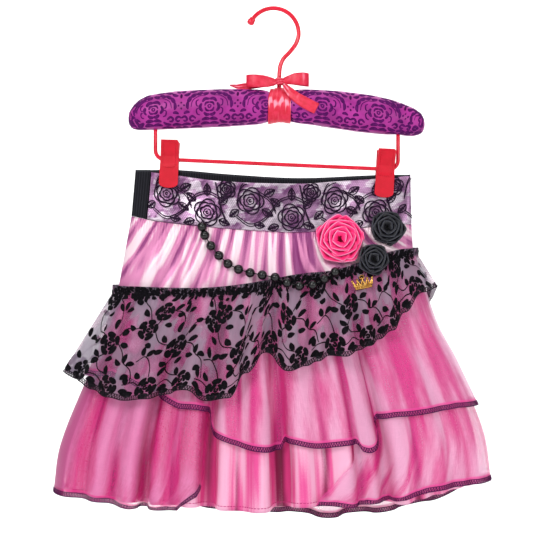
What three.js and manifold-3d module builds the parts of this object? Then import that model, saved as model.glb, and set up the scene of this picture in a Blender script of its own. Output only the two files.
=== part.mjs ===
// Layered party skirt held by two clips on a padded child's hanger.
// Millimetres, +Z up, the front faces -Y. The origin is the inside of the hook's crown,
// where a rail would carry it.
import * as THREE from "three";
import Module from "manifold-3d";
import { mergeVertices } from "three/addons/utils/BufferGeometryUtils.js";

const wasm = await Module();
wasm.setup();

// Cloth sizes
const CLOTH = 1.2; // wall of every cloth piece
const LACE = 1.0; // wall of the lace laid on the yoke
const SEAM_GAP = 0.3; // clear space between two pieces at a seam
const LAYER_STEP = CLOTH + SEAM_GAP; // from one cloth layer to the next
const SEAM_DEPTH = 14; // half the depth of the skirt at the drop seam
const LAYER_DEPTH = 57; // half the depth that holds every fold of the lower layers
const GATHER_WAVES = 19; // gathers across the hip tier
const GATHER_DEPTH = 1.8;
const HEADING_DEPTH = 1.6; // of the frills along the ruffle's heading, one to every fold row

// Hanger sizes
const WIRE_RADIUS = 2.2; // hook wire with its coating
const WIRE_SIDES = 10;
const BAR_RADIUS = 2.05;
const HOOK_RADIUS = 25.8; // of the wire's middle
const PAD_DEPTH = 15; // half of it
const CLIP_WIDTH = 19.4;
const CLIP_PLATE = 2.2;

const group = new THREE.Group();

const FINISH = {
  elastic: { color: 0x24252b, roughness: 0.9, metalness: 0 },
  mauve: { color: 0xa0609a, roughness: 0.4, metalness: 0.4 },
  lace: { color: 0x2a1a30, roughness: 0.9, metalness: 0 },
  hip: { color: 0xe6a5cd, roughness: 0.35, metalness: 0.4 },
  organza: { color: 0xb493af, roughness: 0.6, metalness: 0 },
  pinkOrganza: { color: 0xd95a9e, roughness: 0.5, metalness: 0 },
  satin: { color: 0xe14196, roughness: 0.35, metalness: 0.3 },
  bead: { color: 0x101014, roughness: 0.15, metalness: 0 },
  pinkRose: { color: 0xfa3c82, roughness: 0.45, metalness: 0 },
  blackRose: { color: 0x2d2e34, roughness: 0.45, metalness: 0 },
  gold: { color: 0xc89646, roughness: 0.3, metalness: 1 },
  red: { color: 0xeb1e41, roughness: 0.35, metalness: 0 },
  ribbon: { color: 0xf04a50, roughness: 0.4, metalness: 0 },
  pad: { color: 0xa51e8c, roughness: 0.5, metalness: 0 },
};

// Small maths
const lerp = (a, b, t) => a + (b - a) * t;
const clamp = (value) => Math.min(1, Math.max(0, value));
const smooth = (value) => clamp(value) ** 2 * (3 - 2 * clamp(value));

// The four weights of a cubic between two points: start, start slope, end, end slope.
const cubic = (t) => [
  2 * t ** 3 - 3 * t ** 2 + 1,
  t ** 3 - 2 * t ** 2 + t,
  3 * t ** 2 - 2 * t ** 3,
  t ** 3 - t ** 2,
];

// A smooth height through the rows of a table, first column against second.
function along(rows, value) {
  const last = rows.length - 1;
  if (value <= rows[0][0]) return rows[0][1];
  if (value >= rows[last][0]) return rows[last][1];
  let i = 0;
  while (value > rows[i + 1][0]) i += 1;
  const slope = (k) => {
    const before = rows[Math.max(0, k - 1)];
    const after = rows[Math.min(last, k + 1)];
    return (after[1] - before[1]) / (after[0] - before[0]);
  };
  const width = rows[i + 1][0] - rows[i][0];
  const [h0, h1, h2, h3] = cubic((value - rows[i][0]) / width);
  return h0 * rows[i][1] + h1 * width * slope(i) + h2 * rows[i + 1][1] + h3 * width * slope(i + 1);
}

// Heights of the seams and edges across the front: x, z
const ELASTIC_TOP = [
  [-140.6, -163.4], [-97, -163.3], [-45, -167.5], [27, -171.2], [102, -168.6], [139.7, -168],
];
const YOKE_TOP = [
  [-124.6, -165.8], [-97, -169.3], [-51, -175.4], [27, -178], [62, -175.6], [102, -172.6],
  [139.7, -169.5],
];
const YOKE_SEAM = [
  [-144.7, -210.4], [-118, -216.2], [-57, -222.9], [13, -227.3], [43, -226.6], [140.8, -218.6],
];
const DROP_SEAM = [
  [-159, -289], [-74, -290.8], [-30, -287], [27, -277.7], [72, -270.6], [121, -255], [142.8, -251],
];
const DROP_SEAM_BACK = [[-159, -289], [-60, -284], [40, -268], [142.8, -251]];
const HEADING_TOP = [
  [-160, -281.5], [-75, -283.4], [-30, -279.4], [27, -269.2], [63, -265], [122, -245.8], [145, -243],
];

// Plan views of the upper rings: x, y, from the left side over the front to the right side
const WAIST_RING = [
  { x: -140.6, y: 0 }, { x: -124.6, y: -1.1 }, { x: -119, y: -1.1 }, { x: -94, y: -1.1 },
  { x: -52, y: -6.5 }, { x: 5, y: -8.5 }, { x: 58, y: -6.5 }, { x: 101, y: -1.1 },
  { x: 126, y: -1.1 }, { x: 139.7, y: 0 },
];
const YOKE_RING = [
  { x: -144.7, y: 0 }, { x: -128.7, y: -5 }, { x: -119, y: -5.6 }, { x: -94, y: -6.6 },
  { x: -52, y: -9 }, { x: 5, y: -10 }, { x: 58, y: -9 }, { x: 101, y: -6.5 },
  { x: 126, y: -5 }, { x: 140.8, y: 0 },
];
const BACK_WAIST_RING = [
  { x: 139.7, y: 0 }, { x: 126, y: 1.3 }, { x: 101, y: 1.3 }, { x: 5, y: 4.5 }, { x: -94, y: 1.3 },
  { x: -119, y: 1.3 }, { x: -140.6, y: 0 },
];
const BACK_YOKE_RING = [
  { x: 140.8, y: 0 }, { x: 126, y: 5 }, { x: 101, y: 6.5 }, { x: 5, y: 10 }, { x: -94, y: 6.6 },
  { x: -119, y: 5.6 }, { x: -144.7, y: 0 },
];
// Where the clips' grip on the cloth ends, at the left and the right clip
const PINCH_LEFT = { x: -107, z: -184 };
const PINCH_RIGHT = { x: 113, z: -194 };

// How the lower skirt spreads and how its folds grow, from the drop seam (0) to the hem (1)
const FLARE = [[0, 0], [0.3, 0.27], [0.47, 0.52], [0.78, 0.9], [1, 1]];
const FOLD_GROWTH = [[0, 0], [0.12, 0.3], [0.3, 0.52], [0.6, 0.8], [1, 1]];

// Hem of the satin underskirt: x, y, z, and how round the fold is towards the next row.
// Rows alternate between crests and valleys.
const HEM_FRONT = [
  { x: -213, y: 0, z: -489, roll: 1 }, { x: -200, y: -22, z: -490, roll: 1.4 },
  { x: -189, y: -17, z: -492, roll: 1.4 }, { x: -176, y: -32, z: -492, roll: 1.4 },
  { x: -162, y: -25, z: -495, roll: 1.4 }, { x: -144, y: -42, z: -495, roll: 2.3 },
  { x: -130, y: -16, z: -499, roll: 2.3 }, { x: -117, y: -38, z: -498, roll: 1.4 },
  { x: -103, y: -32, z: -499, roll: 1.5 }, { x: -83, y: -46, z: -499, roll: 2.4 },
  { x: -66, y: -14, z: -504, roll: 2.3 }, { x: -49, y: -37, z: -504, roll: 1.4 },
  { x: -37, y: -32, z: -505, roll: 1.4 }, { x: -14, y: -48, z: -504, roll: 2.5 },
  { x: 9, y: -15, z: -504, roll: 2.3 }, { x: 29, y: -42, z: -500, roll: 1.5 },
  { x: 53, y: -30, z: -500, roll: 1.4 }, { x: 74, y: -38, z: -498, roll: 2.2 },
  { x: 90, y: -18, z: -500, roll: 1.6 }, { x: 100, y: -23, z: -499, roll: 1.6 },
  { x: 112, y: -13, z: -499, roll: 2.3 }, { x: 128, y: -42, z: -497, roll: 1.5 },
  { x: 145, y: -35, z: -493, roll: 1.4 }, { x: 163, y: -40, z: -487, roll: 1.4 },
  { x: 181, y: -29, z: -484, roll: 1.4 }, { x: 195, y: -22, z: -482, roll: 1 },
  { x: 211, y: 0, z: -480, roll: 1 },
];
const HEM_BACK = [
  { x: 211, y: 0, z: -480, roll: 1 }, { x: 194, y: 24, z: -486, roll: 1.5 },
  { x: 174, y: 16, z: -493, roll: 1.8 }, { x: 146, y: 38, z: -500, roll: 2 },
  { x: 118, y: 22, z: -505, roll: 2 }, { x: 86, y: 44, z: -508, roll: 2.2 },
  { x: 58, y: 20, z: -510, roll: 2.2 }, { x: 26, y: 46, z: -510, roll: 1.8 },
  { x: -6, y: 30, z: -508, roll: 1.8 }, { x: -36, y: 44, z: -507, roll: 2.2 },
  { x: -64, y: 18, z: -504, roll: 2.2 }, { x: -96, y: 42, z: -501, roll: 2 },
  { x: -124, y: 24, z: -499, roll: 2 }, { x: -152, y: 36, z: -496, roll: 1.8 },
  { x: -178, y: 18, z: -492, roll: 1.5 }, { x: -198, y: 22, z: -490, roll: 1 },
  { x: -213, y: 0, z: -489, roll: 1 },
];

// Hems of the sheer layers: x, z
const LONG_HEM_LEFT = [
  [-225, -491], [-176, -496], [-132, -502], [-94, -503], [-84, -490], [-74, -468],
];
const LONG_HEM_RIGHT = [[37, -499], [99, -500], [126, -493], [164, -483], [222, -479]];
const LONG_HEM_BACK = [
  [-225, -491], [-120, -508], [-30, -518], [64, -525], [144, -514], [172, -504], [222, -481],
];
const SHORT_HEM = [
  [-190, -372], [-133, -388], [-105, -402], [-75, -406], [-62, -428], [-33, -440], [9, -445],
  [16, -437], [46, -442], [88, -439], [94, -447], [106, -444], [112, -418], [154, -409],
  [201, -403],
];
const SHORT_HEM_BACK = [[-190, -372], [-100, -400], [0, -425], [100, -425], [201, -403]];

// How much further out each sheer layer lies at the hem, on a crest, in a valley and at a side
const LONG_LIFT = { step: 1, crest: 1.8, valley: 4.5, side: 10 };
const SHORT_LIFT = { step: 2, crest: 4, valley: 9.5, side: 14 };

// Hem of the ruffle: x, the wave's height over the layers below it, z
const RUFFLE_FRONT = [
  { x: -215, wave: 0, z: -369, roll: 1 }, { x: -196, wave: 10, z: -377, roll: 1.4 },
  { x: -180, wave: 3, z: -384, roll: 1.4 }, { x: -163, wave: 11, z: -390, roll: 1.4 },
  { x: -147, wave: 2, z: -394, roll: 1.4 }, { x: -125, wave: 13, z: -391, roll: 1.5 },
  { x: -108, wave: 1, z: -388, roll: 1.6 }, { x: -88, wave: 14, z: -382, roll: 1.8 },
  { x: -66, wave: 2, z: -394, roll: 1.6 }, { x: -44, wave: 4, z: -391, roll: 1.5 },
  { x: -27, wave: 13, z: -366, roll: 1.5 }, { x: -8, wave: 0, z: -347, roll: 1.5 },
  { x: 14, wave: 13, z: -364, roll: 1.5 }, { x: 32, wave: 2, z: -360, roll: 1.4 },
  { x: 43, wave: 9, z: -355, roll: 1.4 }, { x: 55, wave: 1, z: -350, roll: 1.4 },
  { x: 71, wave: 12, z: -350, roll: 1.4 }, { x: 83, wave: 1, z: -345, roll: 1.4 },
  { x: 94, wave: 10, z: -340, roll: 1.4 }, { x: 104, wave: 1, z: -334, roll: 1.4 },
  { x: 117, wave: 11, z: -325, roll: 1.5 }, { x: 130, wave: 1, z: -308, roll: 1.5 },
  { x: 148, wave: 12, z: -288, roll: 1.3 }, { x: 168, wave: 0, z: -282, roll: 1 },
];
const RUFFLE_BACK = [
  { x: 168, wave: 0, z: -282, roll: 1 }, { x: 158, wave: 12, z: -305, roll: 1.4 },
  { x: 134, wave: 1, z: -318, roll: 1.5 }, { x: 110, wave: 12, z: -328, roll: 1.5 },
  { x: 84, wave: 1, z: -338, roll: 1.5 }, { x: 58, wave: 13, z: -345, roll: 1.5 },
  { x: 30, wave: 1, z: -352, roll: 1.5 }, { x: 2, wave: 13, z: -360, roll: 1.5 },
  { x: -28, wave: 2, z: -368, roll: 1.5 }, { x: -58, wave: 14, z: -376, roll: 1.5 },
  { x: -88, wave: 1, z: -384, roll: 1.5 }, { x: -118, wave: 12, z: -390, roll: 1.5 },
  { x: -146, wave: 1, z: -390, roll: 1.5 }, { x: -176, wave: 11, z: -382, roll: 1.5 },
  { x: -198, wave: 3, z: -375, roll: 1 }, { x: -215, wave: 0, z: -369, roll: 1 },
];

// A point on a plan curve between two rows. Rows inside the table run along X, the first and
// last rows, at the side seams, run along Y.
function planPoint(rows, i, t) {
  const a = rows[i];
  const b = rows[i + 1];
  const across = Math.sign(rows[rows.length - 1].x - rows[0].x);
  const outward = Math.sign(rows[1].y - rows[0].y);
  const span = Math.hypot(b.x - a.x, b.y - a.y);
  const reach = (a.roll ?? 1) * Math.abs(b.x - a.x);
  const first = i === 0;
  const last = i === rows.length - 2;
  const start = first ? { x: 0, y: outward * span } : { x: across * reach, y: 0 };
  const end = last ? { x: 0, y: -outward * span } : { x: across * reach, y: 0 };
  const [h0, h1, h2, h3] = cubic(t);
  return {
    x: h0 * a.x + h1 * start.x + h2 * b.x + h3 * end.x,
    y: h0 * a.y + h1 * start.y + h2 * b.y + h3 * end.y,
    z: lerp(a.z ?? 0, b.z ?? 0, smooth(t)),
    share: lerp(a.x, b.x, t),
  };
}

// The samples of a plan curve, more of them where a fold is deep.
function planSamples(rows) {
  const samples = [];
  for (let i = 0; i < rows.length - 1; i += 1) {
    const rise = Math.abs((rows[i + 1].y ?? 0) - (rows[i].y ?? 0));
    const deep = rows[0].x < rows[rows.length - 1].x ? 4 : 3;
    const steps = rise < 9 ? 2 : rise < 15 ? 3 : deep;
    for (let k = 0; k < steps; k += 1) samples.push({ i, t: k / steps });
  }
  samples.push({ i: rows.length - 2, t: 1 });
  return samples;
}

// Solids
function addMesh(name, geometry, finish) {
  geometry.computeVertexNormals();
  const mesh = new THREE.Mesh(geometry, new THREE.MeshStandardMaterial(FINISH[finish]));
  mesh.name = name;
  group.add(mesh);
  return mesh;
}

function geometryFrom(points, triangles) {
  const geometry = new THREE.BufferGeometry();
  const places = points.flatMap((p) => [p.x, p.y, p.z]);
  geometry.setAttribute("position", new THREE.Float32BufferAttribute(places, 3));
  geometry.setIndex(triangles.flat());
  return geometry;
}

// A cloth wall round a grid of middle points, grid[column][level], outside facing away from the
// middle when columns run left to right along the front and right to left along the back.
// A panel that starts or ends at a side seam meets it square.
function wallGeometry(grid, thickness, atSide = [false, false]) {
  const columns = grid.length;
  const levels = grid[0].length;
  const index = (side, c, l) => side * columns * levels + c * levels + l;
  const outer = [];
  const inner = [];
  const down = new THREE.Vector3();
  const across = new THREE.Vector3();
  for (let c = 0; c < columns; c += 1) {
    for (let l = 0; l < levels; l += 1) {
      down.subVectors(grid[c][Math.min(levels - 1, l + 1)], grid[c][Math.max(0, l - 1)]);
      across.subVectors(grid[Math.min(columns - 1, c + 1)][l], grid[Math.max(0, c - 1)][l]);
      const normal = new THREE.Vector3().crossVectors(down, across);
      if ((c === 0 && atSide[0]) || (c === columns - 1 && atSide[1])) normal.y = 0;
      normal.normalize();
      outer.push(grid[c][l].clone().addScaledVector(normal, thickness / 2));
      inner.push(grid[c][l].clone().addScaledVector(normal, -thickness / 2));
    }
  }
  const triangles = [];
  const quad = (...corners) => {
    const [a, b, c, d] = corners.map((corner) => index(...corner));
    triangles.push([a, b, c], [a, c, d]);
  };
  const low = levels - 1;
  const far = columns - 1;
  for (let c = 0; c < far; c += 1) {
    for (let l = 0; l < low; l += 1) {
      quad([0, c, l], [0, c, l + 1], [0, c + 1, l + 1], [0, c + 1, l]);
      quad([1, c, l], [1, c + 1, l], [1, c + 1, l + 1], [1, c, l + 1]);
    }
    quad([0, c, 0], [0, c + 1, 0], [1, c + 1, 0], [1, c, 0]);
    quad([0, c, low], [1, c, low], [1, c + 1, low], [0, c + 1, low]);
  }
  for (let l = 0; l < low; l += 1) {
    quad([0, 0, l], [1, 0, l], [1, 0, l + 1], [0, 0, l + 1]);
    quad([0, far, l], [0, far, l + 1], [1, far, l + 1], [1, far, l]);
  }
  return geometryFrom([...outer, ...inner], triangles);
}

function addWall(name, grid, thickness, finish, atSide) {
  return addMesh(name, wallGeometry(grid, thickness, atSide), finish);
}
const BOTH_SIDES = [true, true];

// Moves a plan curve's samples sideways by its own normal in plan.
function movedOut(samples, distance, atSide = [false, false]) {
  return samples.map((sample, k) => {
    const side = (k === 0 && atSide[0]) || (k === samples.length - 1 && atSide[1]);
    if (side) return { ...sample, x: sample.x + Math.sign(sample.x) * distance };
    const before = samples[Math.max(0, k - 1)];
    const after = samples[Math.min(samples.length - 1, k + 1)];
    const dx = after.x - before.x;
    const dy = after.y - before.y;
    const step = distance / (Math.hypot(dx, dy) || 1);
    return { ...sample, x: sample.x + dy * step, y: sample.y - dx * step };
  });
}

// A closed tube round a path, with a radius for each point.
function sweepGeometry(path, radii, sides, flat = 1) {
  const points = [];
  const triangles = [];
  const sideways = new THREE.Vector3(0, 1, 0);
  path.forEach((point, k) => {
    const tangent = new THREE.Vector3()
      .subVectors(path[Math.min(path.length - 1, k + 1)], path[Math.max(0, k - 1)])
      .normalize();
    const upward = new THREE.Vector3().crossVectors(tangent, sideways).normalize();
    const depth = new THREE.Vector3().crossVectors(upward, tangent).normalize();
    for (let s = 0; s < sides; s += 1) {
      const angle = (2 * Math.PI * s) / sides;
      const at = point.clone();
      at.addScaledVector(upward, radii[k] * Math.cos(angle));
      at.addScaledVector(depth, radii[k] * flat * Math.sin(angle));
      points.push(at);
    }
  });
  const startCap = points.length;
  points.push(path[0].clone(), path[path.length - 1].clone());
  const last = (path.length - 1) * sides;
  for (let s = 0; s < sides; s += 1) {
    const next = (s + 1) % sides;
    for (let k = 0; k < path.length - 1; k += 1) {
      const a = k * sides + s;
      const b = k * sides + next;
      triangles.push([a, b + sides, b], [a, a + sides, b + sides]);
    }
    triangles.push([startCap, s, next], [startCap + 1, last + next, last + s]);
  }
  return geometryFrom(points, triangles);
}

// Upper skirt: waist, yoke and lace
function pinchHeight(x) {
  const share = (x - PINCH_LEFT.x) / (PINCH_RIGHT.x - PINCH_LEFT.x);
  return lerp(PINCH_LEFT.z, PINCH_RIGHT.z, share);
}

// One column of an upper panel: its top, the end of the pinch, half way and its seam.
function upperColumn(waistRing, yokeRing, top, i, t) {
  const waist = planPoint(waistRing, i, t);
  const seam = planPoint(yokeRing, i, t);
  const pinch = pinchHeight(waist.x);
  const seamZ = along(YOKE_SEAM, seam.x) + SEAM_GAP / 2;
  const topZ = along(top, waist.x);
  return [topZ, pinch, lerp(pinch, seamZ, 0.5), seamZ].map((z) => {
    const spread = smooth((pinch - z) / (pinch - seamZ));
    const fall = (topZ - z) / (topZ - seamZ);
    return { x: lerp(waist.x, seam.x, fall), y: lerp(waist.y, seam.y, spread), z };
  });
}

function toGrid(columns, offset, atSide) {
  const levels = columns[0].map((unused, l) => columns.map((column) => column[l]));
  const moved = levels.map((level) => movedOut(level, offset, atSide));
  const place = ({ x, y, z }) => new THREE.Vector3(x, y, z);
  return columns.map((unused, c) => moved.map((level) => place(level[c])));
}

// Opens a side seam by half a gap on each panel.
function clearOfSides(grid, side, atSide = BOTH_SIDES) {
  const ends = [atSide[0] ? grid[0] : [], atSide[1] ? grid[grid.length - 1] : []];
  for (const point of ends.flat()) point.y = side * SEAM_GAP;
  return grid;
}

const RIGHT_ONLY = [false, true];
const LEFT_ONLY = [true, false];
function yokeGrid(offset) {
  const samples = planSamples(WAIST_RING).filter(({ i }) => i > 0);
  const columns = samples.map(({ i, t }) => upperColumn(WAIST_RING, YOKE_RING, YOKE_TOP, i, t));
  return clearOfSides(toGrid(columns, offset, RIGHT_ONLY), -1, RIGHT_ONLY);
}
addWall("yoke_front", yokeGrid(0), CLOTH, "mauve", RIGHT_ONLY);
addWall("yoke_lace", yokeGrid((CLOTH + LACE) / 2 + SEAM_GAP), LACE, "lace", RIGHT_ONLY);

// The elastic runs along the back, round the left side and up to the yoke's left edge.
function elasticGrid() {
  const back = planSamples(BACK_WAIST_RING).slice(0, -1);
  const columns = back.map(({ i, t }) => (
    upperColumn(BACK_WAIST_RING, BACK_YOKE_RING, ELASTIC_TOP, i, t)
  ));
  for (const t of [0, 0.25, 0.5, 0.75, 0.95]) {
    columns.push(upperColumn(WAIST_RING, YOKE_RING, ELASTIC_TOP, 0, t));
  }
  return clearOfSides(toGrid(columns, 0, LEFT_ONLY), 1, LEFT_ONLY);
}
addWall("waist_elastic", elasticGrid(), CLOTH, "elastic", LEFT_ONLY);

// Hip tier
const DROP_LEFT = -159;
const DROP_RIGHT = 142.8;
const DROP_MIDDLE = (DROP_LEFT + DROP_RIGHT) / 2;
const DROP_HALF = (DROP_RIGHT - DROP_LEFT) / 2;
const HIP_TOP_LEFT = -144.7;
const HIP_TOP_RIGHT = 140.8;
const HIP_TOP_DEPTH = 10; // half the depth at the yoke seam
const HIP_LEVELS = [0, 0.3, 0.65, 1];

// The flattened oval of a ring, 1 in the middle and 0 at the sides.
const oval = (share, power = 4) => Math.sqrt(Math.max(0, 1 - Math.abs(share) ** power));

function hipPoint(side, angle, fall) {
  const share = -Math.cos(angle);
  const topX = lerp(HIP_TOP_LEFT, HIP_TOP_RIGHT, (share + 1) / 2);
  const lowX = DROP_MIDDLE + DROP_HALF * share;
  const seam = side < 0 ? DROP_SEAM : DROP_SEAM_BACK;
  const topZ = along(YOKE_SEAM, topX) - SEAM_GAP / 2;
  const lowZ = along(seam, lowX) + SEAM_GAP / 2;
  const edge = smooth(Math.min(share + 1, 1 - share) * 6);
  const growth = Math.sin(Math.PI * clamp(0.12 + 0.75 * fall));
  const phase = GATHER_WAVES * Math.PI * (share + 1) + 2 * Math.sin(5 * share);
  const gather = GATHER_DEPTH * edge * growth * Math.cos(phase);
  const depth = lerp(HIP_TOP_DEPTH, SEAM_DEPTH, fall) * oval(share) + gather;
  return new THREE.Vector3(lerp(topX, lowX, fall), side * depth, lerp(topZ, lowZ, fall));
}

// Columns run evenly along the tier, closer at its sides, where the cloth turns round.
function hipGrid(side) {
  const columns = side < 0 ? GATHER_WAVES * 4 : GATHER_WAVES * 2;
  const grid = [];
  for (let c = 0; c <= columns; c += 1) {
    const share = lerp(-1, 1, c / columns);
    const turned = Math.sign(share) * (1 - (1 - Math.abs(share)) ** 1.15);
    const angle = Math.acos(-turned);
    grid.push(HIP_LEVELS.map((fall) => hipPoint(side, angle, fall)));
  }
  return side < 0 ? grid : grid.reverse();
}

addWall("hip_front", clearOfSides(hipGrid(-1), -1), CLOTH, "hip", BOTH_SIDES);
addWall("hip_back", clearOfSides(hipGrid(1), 1), CLOTH, "hip", BOTH_SIDES);

// Lower layers, all worked out from the underskirt's folds
const HEM_LEFT = -213;
const HEM_RIGHT = 211;

function dropRing(share) {
  const spread = (share - HEM_LEFT) / (HEM_RIGHT - HEM_LEFT);
  const x = lerp(DROP_LEFT, DROP_RIGHT, spread);
  return { x, depth: SEAM_DEPTH * oval(2 * spread - 1) };
}

// A layer's rows, moved out. Its lift to a side fades out over the first three rows.
const SIDE_LIFT = [1, 0.7, 0.35];
function liftedRows(rows, lift) {
  const last = rows.length - 1;
  return rows.map((row, k) => {
    const outer = lift.side * (SIDE_LIFT[Math.min(k, last - k)] ?? 0);
    const x = row.x + Math.sign(row.x) * outer;
    if (k === 0 || k === last) return { ...row, x };
    const near = Math.min(Math.abs(rows[k - 1].y), Math.abs(rows[k + 1].y));
    const extra = Math.abs(row.y) < near ? lift.valley : lift.crest;
    return { ...row, x, y: row.y + Math.sign(row.y) * extra };
  });
}

// The parts of the fall at which a layer bends. Every layer bends at the same ones, so
// that none cuts through the next, and ends at its own hem.
function fallLevels(end) {
  return [0, 0.25, Math.min(0.6, end * 0.85), end];
}

// One layer's grid. hem gives the lowest height at each x.
function layerGrid(rows, lift, hem, seamRows) {
  const lifted = lift ? liftedRows(rows, lift) : rows;
  const side = Math.sign(rows[1].y);
  const columns = planSamples(rows).map(({ i, t }) => {
    const hemPoint = planPoint(lifted, i, t);
    const base = planPoint(rows, i, t);
    const ring = dropRing(base.share);
    const topZ = along(seamRows, ring.x) - SEAM_GAP / 2;
    const end = hem ? (topZ - along(hem, hemPoint.x)) / (topZ - base.z) : 1;
    return fallLevels(end).map((fall) => ({
      x: lerp(ring.x, hemPoint.x, along(FLARE, fall)),
      y: lerp(side * ring.depth, hemPoint.y, along(FOLD_GROWTH, fall)),
      z: lerp(topZ, base.z, fall),
    }));
  });
  return clearOfSides(toGrid(columns, lift ? lift.step * LAYER_STEP : 0, BOTH_SIDES), side);
}

const LEFT_OPENING = -71; // where the long sheer layer's two front panels end at the hem
const RIGHT_OPENING = 41;
const hemX = (column) => column[column.length - 1].x;

const underFront = layerGrid(HEM_FRONT, null, null, DROP_SEAM);
const underBack = layerGrid(HEM_BACK, null, null, DROP_SEAM_BACK);
addWall("underskirt_front", underFront, CLOTH, "satin", BOTH_SIDES);
addWall("underskirt_back", underBack, CLOTH, "satin", BOTH_SIDES);
const longLeft = layerGrid(HEM_FRONT, LONG_LIFT, LONG_HEM_LEFT, DROP_SEAM)
  .filter((column) => hemX(column) < LEFT_OPENING);
const longRight = layerGrid(HEM_FRONT, LONG_LIFT, LONG_HEM_RIGHT, DROP_SEAM)
  .filter((column) => hemX(column) > RIGHT_OPENING);
const longBack = layerGrid(HEM_BACK, LONG_LIFT, LONG_HEM_BACK, DROP_SEAM_BACK);
addWall("overskirt_long_left", longLeft, CLOTH, "pinkOrganza", LEFT_ONLY);
addWall("overskirt_long_right", longRight, CLOTH, "pinkOrganza", RIGHT_ONLY);
addWall("overskirt_long_back", longBack, CLOTH, "pinkOrganza", BOTH_SIDES);
const shortFront = layerGrid(HEM_FRONT, SHORT_LIFT, SHORT_HEM, DROP_SEAM);
const shortBack = layerGrid(HEM_BACK, SHORT_LIFT, SHORT_HEM_BACK, DROP_SEAM_BACK);
addWall("overskirt_short_front", shortFront, CLOTH, "pinkOrganza", BOTH_SIDES);
addWall("overskirt_short_back", shortBack, CLOTH, "pinkOrganza", BOTH_SIDES);

// Ruffle: it hangs over the lower layers, so its plan is their outer bound plus its own waves.
const STITCH_SIDE = 3 * LAYER_STEP + 1.2; // how far outside the drop seam its stitch line lies
const STITCH_DEPTH = SEAM_DEPTH + 3 * LAYER_STEP + 0.8;
const BACK_HEADING = 8.5; // height of the heading over the stitch line where no row gives it
const RUFFLE_STEPS = 4; // columns from one fold row to the next
const RUFFLE_LEVELS = [0.3, 0.65, 1];
// Sides of the space that the lower layers fill, at the drop seam and at the hem
const BOUND_TOP = { left: DROP_LEFT - 8, right: DROP_RIGHT + 8 };
const BOUND_HEM = { left: -235, right: 231 };

function ruffleGrid(rows, side, seamRows, headingRows, hemRows) {
  const plan = rows.map((row) => ({ ...row, y: side * (row.wave + 1) }));
  plan[0].y = 0;
  plan[plan.length - 1].y = 0;
  const samples = [];
  for (let i = 0; i < plan.length - 1; i += 1) {
    for (let k = 0; k < RUFFLE_STEPS; k += 1) samples.push(planPoint(plan, i, k / RUFFLE_STEPS));
  }
  samples.push(planPoint(plan, plan.length - 2, 1));
  const first = rows[0].x;
  const last = rows[rows.length - 1].x;
  const grid = samples.map((sample, c) => {
    const along01 = (sample.share - first) / (last - first);
    const share = side < 0 ? 2 * along01 - 1 : 1 - 2 * along01;
    const stitchX = DROP_MIDDLE + (DROP_HALF + STITCH_SIDE) * share;
    const stitchZ = along(seamRows, stitchX);
    const headZ = headingRows ? along(headingRows, stitchX) : stitchZ + BACK_HEADING;
    const sides = smooth(Math.min(share + 1, 1 - share) * 8);
    const frill = HEADING_DEPTH * sides * Math.sin((Math.PI / 2) * c);
    const stitchDepth = STITCH_DEPTH * oval(share, 5);
    const headDepth = stitchDepth + sides * HEADING_DEPTH + frill;
    const column = [
      new THREE.Vector3(stitchX, side * headDepth, headZ),
      new THREE.Vector3(stitchX, side * stitchDepth, stitchZ),
    ];
    for (const level of RUFFLE_LEVELS) {
      const z = lerp(stitchZ, sample.z, level);
      const fall = clamp((stitchZ - z) / (stitchZ - along(hemRows, stitchX)));
      const x = lerp(stitchX, sample.x, level);
      const flare = along(FLARE, fall);
      const left = lerp(BOUND_TOP.left, BOUND_HEM.left, flare);
      const right = lerp(BOUND_TOP.right, BOUND_HEM.right, flare);
      const depth = lerp(STITCH_DEPTH, LAYER_DEPTH, along(FOLD_GROWTH, fall));
      const bound = depth * oval((2 * (x - left)) / (right - left) - 1, 6);
      const wave = Math.abs(sample.y) * smooth(level * 1.2);
      column.push(new THREE.Vector3(x, side * (bound + wave), z));
    }
    return column;
  });
  return clearOfSides(grid, side);
}
const hemHeights = (rows) => rows.map((row) => [row.x, row.z]).sort((a, b) => a[0] - b[0]);
const ruffleFront = ruffleGrid(RUFFLE_FRONT, -1, DROP_SEAM, HEADING_TOP, hemHeights(HEM_FRONT));
const ruffleBack = ruffleGrid(RUFFLE_BACK, 1, DROP_SEAM_BACK, null, hemHeights(HEM_BACK));
addWall("ruffle_front", ruffleFront, CLOTH, "organza", BOTH_SIDES);
addWall("ruffle_back", ruffleBack, CLOTH, "organza", BOTH_SIDES);

// Bead swag: middle of each bead
const BEAD_RADIUS = 4.3;
const THREAD_RADIUS = 0.6;
const BEADS = [
  [-72.1, -15.4, -222], [-69.3, -16.2, -230.6], [-63, -17, -241.2], [-55, -17.8, -251],
  [-45.9, -18.6, -259.3], [-35.2, -19.4, -264.9], [-23.5, -21, -268.3], [-11.3, -24, -270.5],
  [1.6, -27, -273], [13.5, -28.5, -278.3], [25.7, -30.2, -281.3], [39, -30.2, -280.4],
  [50.6, -29.2, -274.4], [61.5, -27.8, -267.6],
];
const THREAD_START = [-72.6, -13.6, -216.5];
const THREAD_END = [66, -24, -262.6];

// A bead's profile along the thread: offset and radius, in shares of its radius
const BEAD_PROFILE = [[-1, 0.14], [-0.62, 0.78], [0, 1], [0.62, 0.78], [1, 0.14]];

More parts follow.
